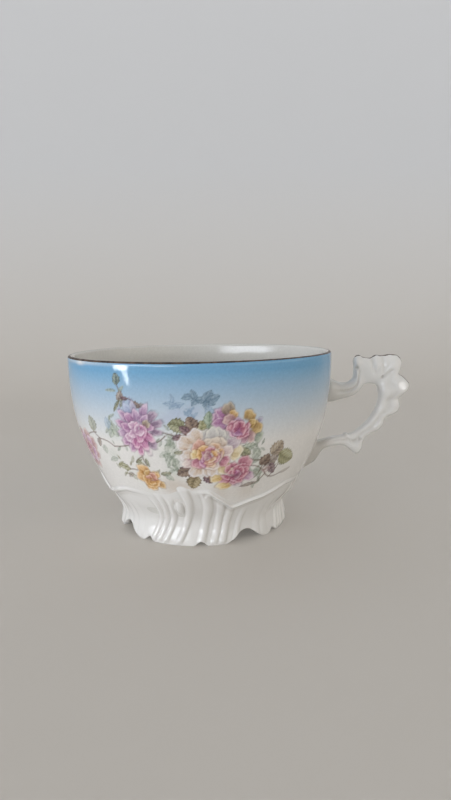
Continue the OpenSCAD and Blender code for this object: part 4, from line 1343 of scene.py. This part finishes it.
# Lobes: x, z, radius and height
LOBES = [(75.2, 49.6, 5.2, 0.62), (58.8, 25.6, 3.4, 0.6), (58.4, 58.6, 2.6, 0.7), (58.4, 56.4, 0.9, -0.9),
         (68.2, 52.9, 0.9, -0.9), (72.2, 57.2, 3.8, 0.7), (66.3, 57.4, 2.0, 0.35),
         (74.0, 42.0, 3.4, 0.45), (67.0, 34.2, 2.8, 0.35)]
# Short grooves: start, end, half width and depth
GROOVES = [((68.2, 52.9), (71.4, 54.9), 0.8, 0.5), ((57.0, 28.4), (60.4, 29.0), 0.6, 0.6),
           ((70.5, 44.2), (74.0, 44.8), 1.5, 0.2), ((69.0, 38.8), (71.0, 37.6), 1.4, 0.2),
           ((68.3, 60.4), (68.5, 55.0), 1.0, 0.4), ((64.0, 60.0), (65.0, 54.6), 1.2, 0.35)]
# The tip of a small leaf on the inner edge of the loop: place along the handle, half length and height
LEAF_TIP = (33.6, 0.7, 0.8)
# The flat of the great lobe: x, z, radius, distance from the handle's middle, and slopes along x and z
LOBE_FLAT = (75.2, 49.3, 3.2, 3.75, -0.143, -0.133)
FLAT_EDGE = 1.6
# How far the carving reaches round the handle's edges: less is farther
CARVING_WRAP = 0.6
# Painted shade along the stem from the upper root: share, end and length; at the lower root: start and
# length; pooled glaze and painted shade in the carving, per millimetre of depth; and the most of all that, up
# to the lower half and along it
UPPER_ROOT_SHADE = (0.7, 5.5, 4.5)
LOWER_ROOT_SHADE = (35.5, 2.5)
GROOVE_POOL_SHADE = 0.8
MOST_POOL_AND_SHADE = 0.7
LOWER_HALF = 30


def to_segment(x, z, start, end):
    """Distance from points to a straight line between two spots."""
    a, b = np.array(start), np.array(end)
    t = np.clip(((x - a[0]) * (b - a)[0] + (z - a[1]) * (b - a)[1]) / ((b - a) @ (b - a)), 0, 1)
    return np.hypot(x - a[0] - t * (b - a)[0], z - a[1] - t * (b - a)[1])


def handle_carving(u, w, x, z):
    """Carved height at place u and share w from the inner to the outer edge."""
    share, over, depth, *run = SET_BACK
    relief = -depth * ease((w - share) / over) * stretch(u, *run)
    for share, half, depth, *run in LONG_GROOVES:
        relief -= depth * bump(w - share, half) * stretch(u, *run)
    for vein in VEINS:
        relief -= CREST_DEPTH * bump(u - vein, CREST_HALF) * stretch(w, *CREST_ACROSS)
    for lx, lz, radius, height in LOBES:
        relief += height * bump(np.hypot(x - lx, z - lz), radius)
    for start, end, half, depth in GROOVES:
        relief -= depth * bump(to_segment(x, z, start, end), half)
    return relief


def handle_surface(u, v, off=0.0):
    """Points of the handle at places u along it and angles v round its section, and their carving."""
    outer, inner = handle_edges(u)
    half = HANDLE_THICKNESS / 2 * smooth_rows(THICKNESS_ROWS, u)
    root = UPPER_FLARE * ease((UPPER_LENGTH - u) / UPPER_LENGTH)
    root += LOWER_FLARE * ease((u - HANDLE_LAST + LOWER_LENGTH) / LOWER_LENGTH)
    place, spread, height = LEAF_TIP
    width = np.linalg.norm(outer - inner, axis=1)
    inner = inner + (inner - outer) * (height * bump(u - place, spread) / width)[:, None]
    across = (outer - inner) / 2
    length = np.linalg.norm(across, axis=1, keepdims=True)
    reach = across * (1 + root[:, None] + off / length)
    c, s = section(u, v)
    spot = ((outer + inner) / 2)[:, None, :] + reach[:, None, :] * c[..., None]
    w = (1 + c) / 2
    carving = handle_carving(np.broadcast_to(u[:, None], w.shape), w, spot[..., 0], spot[..., 1])
    side = (half * (1 + root))[:, None] + off
    thick = side * np.abs(s) + carving * np.abs(s) ** CARVING_WRAP
    x, z, radius, flat, lean_x, lean_z = LOBE_FLAT
    x, z = spot[..., 0] - x, spot[..., 1] - z
    within = ease(FLAT_EDGE - FLAT_EDGE * np.hypot(x, z) / radius)
    thick += within * (flat + lean_x * x + lean_z * z - thick)
    return np.stack([spot[..., 0], np.sign(s) * thick, spot[..., 1]], axis=-1), carving


def lay_on_wall(ring, sink):
    """A ring of points pressed onto the bowl's outside."""
    r = outside_r(ring[:, 2]) - sink
    return np.c_[np.sqrt(r * r - ring[:, 1] ** 2), ring[:, 1:]]


def make_handle():
    """Moulded scroll handle, sunk into the wall at both roots, with pooled glaze and painted shade in its
    carving and painted shade at its roots.
    """
    u = np.linspace(0, HANDLE_LAST, HANDLE_RINGS)
    v = np.linspace(0, 2 * np.pi, HANDLE_SIDES, endpoint=False)
    points, carving = handle_surface(u, v)
    for ring in (0, -1):
        points[ring] = lay_on_wall(points[ring], ROOT_SUNK)
    count = HANDLE_RINGS * HANDLE_SIDES
    caps = [points[0].mean(0), points[-1].mean(0)]
    faces = flipped(grid_faces(HANDLE_RINGS, HANDLE_SIDES))
    faces += pole_faces(0, HANDLE_SIDES, count, True)
    faces += pole_faces(count - HANDLE_SIDES, HANDLE_SIDES, count + 1, False)
    piece = make_object("scroll_handle", np.r_[points.reshape(-1, 3), caps], faces, WHITE)
    # Painted shade on the stem and on the lower root, where the bowl shades them, and pooled glaze with
    # painted shade in the carving
    share, end, length = UPPER_ROOT_SHADE
    pool_and_shade = share * ease((end - u) / length)
    start, length = LOWER_ROOT_SHADE
    pool_and_shade += ease((u - start) / length)
    most = np.where(u > LOWER_HALF, 1.0, MOST_POOL_AND_SHADE)
    glaze_pool_shade = np.clip(pool_and_shade[:, None] - carving * GROOVE_POOL_SHADE, 0, most[:, None])
    set_point_values(piece, "glaze_pool_shade", np.r_[glaze_pool_shade.ravel(), 0, 0])
    return put_on_cup(piece, "glazed_porcelain", "handle")


# Stretches of the handle's outer edge that are gilded, as places along it, and the line's half width as an
# angle round the section
GILDED_RUNS = [(6.2, 14.4), (14.8, 18.2), (21.2, 23.0)]
GILDED_ANGLE = 15.0
GILDED_STEPS = 90
# Its section: shares of the half width, and distances off the glaze
GILDED_SECTION = ((-1, 0.0), (-0.5, 0.07), (0.5, 0.07), (1, 0.0), (0.5, -0.15), (-0.5, -0.15))
# How worn it is: strength, waves along it, and least and most width; the length of its pointed ends, and the
# least half width there
GILDED_WEAR = 0.2
WEAR_WAVES = (1, 3, 7)
WORN_WIDTH = (0.35, 1.3)
GILDED_POINT = 0.5
LEAST_ANGLE = 0.004
GILDED_SEED = 5


def make_handle_gilding():
    """Thin worn gilt lines along the handle's outer edge."""
    draw = np.random.default_rng(GILDED_SEED)
    points, faces = [], []
    for first, last in GILDED_RUNS:
        u = np.linspace(first, last, GILDED_STEPS)
        waves = sum(draw.normal() * np.sin(k * u + draw.uniform(0, 6)) for k in WEAR_WAVES)
        worn = np.clip(1 + GILDED_WEAR * waves, *WORN_WIDTH)
        ends = np.sqrt(np.clip(np.minimum(u - first, last - u) / GILDED_POINT, 0, 1))
        half = np.radians(GILDED_ANGLE) * worn * ends + LEAST_ANGLE
        rings = []
        for share, off in GILDED_SECTION:
            rings.append([handle_surface(u[i:i + 1], share * half[i:i + 1], off)[0][0, 0]
                          for i in range(len(u))])
        start = sum(len(p) for p in points)
        points.append(np.array(rings).reshape(-1, 3))
        faces += tube_faces(len(GILDED_SECTION), GILDED_STEPS, start)
    piece = make_object("handle_gilt_lines", np.concatenate(points), faces, GOLD)
    return put_on_cup(piece, "gilding", "handle_gilding")


# Moustache guard

SLOT_WIDTH = 35.0
SLOT_DEPTH = 10.0
GUARD_REACH = 29.0
GUARD_COLUMNS = 240
GUARD_SIDES = 32
# How far the guard's edge is sunk into the wall
GUARD_SUNK = 0.9
GUARD_R = math.hypot(SLOT_WIDTH / 2, GUARD_LOW[1])


def make_guard():
    """A shelf across the mouth, with rounded edges and a drinking slot along the wall."""
    rise = SLOT_DEPTH - (GUARD_R - abs(GUARD_LOW[1]))
    slot_r = (SLOT_WIDTH ** 2 / 4 + rise ** 2) / (2 * rise)
    centre = slot_r + GUARD_R - SLOT_DEPTH
    edge_r = slot_r + GUARD_REACH - SLOT_DEPTH
    sunk_r = GUARD_R + GUARD_SUNK
    # The slot and the shelf's inner edge are arcs round one centre in front of the cup
    widest = math.acos((edge_r ** 2 + centre ** 2 - sunk_r ** 2) / (2 * edge_r * centre))
    angle = np.linspace(-1, 1, GUARD_COLUMNS) * widest

    def wall_at(radius):
        """Distance from that centre to a circle round the cup's axis."""
        side = centre * np.sin(angle)
        return centre * np.cos(angle) - np.sqrt(np.maximum(radius ** 2 - side ** 2, 0))

    near = np.where(wall_at(GUARD_R) < slot_r, slot_r, wall_at(sunk_r))
    height = (GUARD_HIGH[2] - GUARD_LOW[2]) / 2
    turn = np.linspace(0, math.tau, GUARD_SIDES, endpoint=False)[:, None]
    flat = np.maximum((edge_r - near) / 2 - height, 0.0)
    bow = np.minimum((edge_r - near) / 2, height)
    reach = (edge_r + near) / 2 + flat * np.sign(np.cos(turn)) + bow * np.cos(turn)
    z = np.broadcast_to((GUARD_HIGH[2] + GUARD_LOW[2]) / 2 + height * np.sin(turn), reach.shape)
    points = np.stack([reach * np.sin(angle), reach * np.cos(angle) - centre, z], axis=-1).reshape(-1, 3)
    faces = flipped(tube_faces(GUARD_SIDES, GUARD_COLUMNS))
    piece = make_object("moustache_guard_shelf", points, faces, WHITE)
    return put_on_cup(piece, "glazed_porcelain", "moustache_guard")


# Slip in the joints

def make_slip():
    """The slip pads and fillets keep the model's shape and get their finish."""
    for name, material in (("foot_slip", SLIP), ("guard_slip", WHITE), ("upper_handle_slip", SLIP),
                           ("lower_handle_slip", SLIP)):
        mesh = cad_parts[name].data
        mesh.materials.clear()
        mesh.materials.append(material)


# Stage, light and camera

FLOOR_COLOUR = "#d4cfc8"
BACKDROP_COLOUR = "#d1d2d4"
# Share of the floor's brightness that shadows leave, as seen by the eye and in reflections, and how bright
# the lit floor is for its colour
FLOOR_GLOW = 0.3
LIT_FLOOR = 0.6
# Where the floor starts to sweep up behind the cup, and its extents, in metres
BACKDROP_FROM = 0.28
BACKDROP_RADIUS = 0.25
BACKDROP_TOP = 3.0
FLOOR_FRONT = -3.0
FLOOR_HALF = 4.0
SWEEP_STEPS = 16


# Matt paint, cooler where the floor sweeps up behind the cup, with a faint glow that softens shadows
def floor_paint():
    material, tree, shader, place = new_material("matt_floor_paint", Roughness=0.8)
    height = add(tree, "ShaderNodeSeparateXYZ", {"Vector": place})
    share = add(tree, "ShaderNodeMapRange", {"Value": height.outputs["Z"]},
                {"From Min": 0.0, "From Max": BACKDROP_RADIUS})
    tint = add(tree, "ShaderNodeMix", {"Factor": share.outputs["Result"]},
               {"A": rgba(FLOOR_COLOUR), "B": rgba(BACKDROP_COLOUR)}, data_type="RGBA")
    rays = add(tree, "ShaderNodeLightPath")
    seen = rays.outputs["Is Camera Ray"]
    for kind in ("Is Glossy Ray", "Is Transmission Ray"):
        either = add(tree, "ShaderNodeMath", {0: seen, 1: rays.outputs[kind]}, operation="MAXIMUM")
        seen = either.outputs["Value"]
    dim = add(tree, "ShaderNodeMapRange", {"Value": seen}, {"To Min": 1.0, "To Max": 1 - FLOOR_GLOW})
    glow = add(tree, "ShaderNodeMath", {0: seen}, {1: FLOOR_GLOW * LIT_FLOOR}, operation="MULTIPLY")
    base = add(tree, "ShaderNodeMix", {"A": tint.outputs["Result"], "B": dim.outputs["Result"]},
               {"Factor": 1.0}, data_type="RGBA", blend_type="MULTIPLY")
    join(tree, shader, {"Base Color": base.outputs["Result"], "Emission Color": tint.outputs["Result"],
                        "Emission Strength": glow.outputs["Value"]})
    return material


def make_stage():
    """A pale floor that sweeps up behind the cup."""
    turn = np.linspace(-math.pi / 2, 0, SWEEP_STEPS)
    back = BACKDROP_FROM + BACKDROP_RADIUS
    sweep = np.c_[BACKDROP_FROM + BACKDROP_RADIUS * np.cos(turn),
                  BACKDROP_RADIUS + BACKDROP_RADIUS * np.sin(turn)]
    path = np.r_[[[FLOOR_FRONT, 0.0]], sweep, [[back, BACKDROP_TOP]]]
    points = [[x / MM, y / MM, z / MM] for x in (-FLOOR_HALF, FLOOR_HALF) for y, z in path]
    count = len(path)
    faces = [[i, count + i, count + i + 1, i + 1] for i in range(count - 1)]
    floor = make_object("pale_floor", points, faces, floor_paint())


# The room's plain light, level and overhead, and soft glows low in it: colour, direction, strength, and the
# angles aside and up at which a glow starts to fade and is gone. The first is a window on the left.
ROOM_COLOUR = "#f7f5f1"
LEVEL_LIGHT = 0.79
OVERHEAD_LIGHT = 0.41
GLOWS = [("#edf3fc", (-0.755, -0.656, 0.0), 7.5, (12, 36), (7, 17)),
         ("#fbf1e2", (0.86, -0.45, 0.0), 0.88, (20, 50), (15, 35))]

# Small bright cards that are mirrored in the glaze: place, target, size, turn, spread and brightness. A card
# shines no wider than its spread, so that it lights only what it faces.
CARDS = {
    "window_card": ((-0.257, -0.157, 0.028), (-0.024, -0.041, 0.058), (0.015, 0.040), 32, 16, 5.0),
    "pane_card": ((-0.276, -0.138, 0.050), (-0.0245, -0.040, 0.061), (0.078, 0.024), 0, 24, 8.0),
    "foot_card": ((-0.270, -0.140, 0.030), (-0.016, -0.026, 0.006), (0.060, 0.040), 0, 16, 7.0),
    "lobe_card": ((0.218, -0.207, 0.075), (0.075, -0.004, 0.049), (0.040, 0.040), 0, 8, 1.9),
}


def add_card(name, place, target, size, turn, spread, brightness):
    """A bright card as an area light whose energy gives it that brightness within its spread."""
    lamp = bpy.data.lights.new(name, "AREA")
    lamp.shape = "RECTANGLE"
    lamp.size, lamp.size_y = size
    lamp.spread = math.radians(spread)
    lamp.energy = brightness * math.pi * size[0] * size[1] * math.sin(lamp.spread / 2) ** 2
    light = bpy.data.objects.new(name, lamp)
    light.location = place
    aim = Vector(target) - Vector(place)
    facing = aim.to_track_quat("-Z", "Y").to_matrix()
    light.rotation_euler = (facing @ Matrix.Rotation(math.radians(turn), 3, "Z")).to_euler()
    light.visible_camera = False
    bpy.context.scene.collection.objects.link(light)


def make_light():
    """A pale room with a soft, nearly level window light, and cards for the gloss."""
    world = bpy.data.worlds.new("pale_room")
    bpy.context.scene.world = world
    world.use_nodes = True
    tree = world.node_tree
    room = tree.nodes["Background"]
    room.inputs["Color"].default_value = rgba(ROOM_COLOUR)
    look = add(tree, "ShaderNodeTexCoord").outputs["Generated"]
    height = add(tree, "ShaderNodeSeparateXYZ", {"Vector": look}).outputs["Z"]
    level = add(tree, "ShaderNodeMapRange", {"Value": height},
                {"To Min": LEVEL_LIGHT, "To Max": OVERHEAD_LIGHT})
    join(tree, room, {"Strength": level.outputs["Result"]})
    light = room.outputs[0]
    for colour, direction, power, sides, up in GLOWS:
        facing = add(tree, "ShaderNodeVectorMath", {0: look}, {1: Vector(direction).normalized()},
                     operation="DOT_PRODUCT")
        across = add(tree, "ShaderNodeMapRange", {"Value": facing.outputs["Value"]},
                     {"From Min": math.cos(math.radians(sides[1])), "To Min": 0.0,
                      "From Max": math.cos(math.radians(sides[0])), "To Max": power},
                     interpolation_type="SMOOTHSTEP")
        low = add(tree, "ShaderNodeMapRange", {"Value": height},
                  {"From Min": math.sin(math.radians(up[0])), "To Min": 1.0,
                   "From Max": math.sin(math.radians(up[1])), "To Max": 0.0},
                  interpolation_type="SMOOTHSTEP")
        strength = add(tree, "ShaderNodeMath", {0: across.outputs["Result"], 1: low.outputs["Result"]},
                       operation="MULTIPLY")
        glow = add(tree, "ShaderNodeBackground", {"Strength": strength.outputs["Value"]},
                   {"Color": rgba(colour)})
        light = add(tree, "ShaderNodeAddShader", {0: light, 1: glow.outputs[0]}).outputs[0]
    join(tree, tree.nodes["World Output"], {"Surface": light})
    for name, card in CARDS.items():
        add_card(name, *card)


# The photograph's camera: focal length in pixels of the picture, place, and turn from level and straight
PICTURE = (451, 800)
FOCAL_PIXELS = 600.0
CAMERA_BACK = 223.5
CAMERA_HEIGHT = 78.4
CAMERA_PITCH = 8.51
CAMERA_YAW = 2.31
CAMERA_ROLL = 0.9
CAMERA_NEAR = 10.0


def make_camera():
    """The camera where the photograph was taken."""
    camera = bpy.data.objects.new("camera", bpy.data.cameras.new("camera"))
    camera.data.lens = camera.data.sensor_width * FOCAL_PIXELS / max(PICTURE)
    camera.data.clip_start = CAMERA_NEAR * MM
    pitch, yaw, roll = (math.radians(a) for a in (CAMERA_PITCH, CAMERA_YAW, CAMERA_ROLL))
    turn = (Matrix.Rotation(-yaw, 4, "Z") @ Matrix.Rotation(math.pi / 2 - pitch, 4, "X")
            @ Matrix.Rotation(-roll, 4, "Z"))
    camera.matrix_world = Matrix.Translation((0, -CAMERA_BACK * MM, CAMERA_HEIGHT * MM)) @ turn
    bpy.context.scene.collection.objects.link(camera)
    bpy.context.scene.camera = camera


make_camera()
make_stage()
make_light()
make_bowl()
make_rim_gilding()
make_skirt()
make_handle()
make_handle_gilding()
make_guard()
make_slip()

bpy.context.scene.view_settings.view_transform = "Standard"
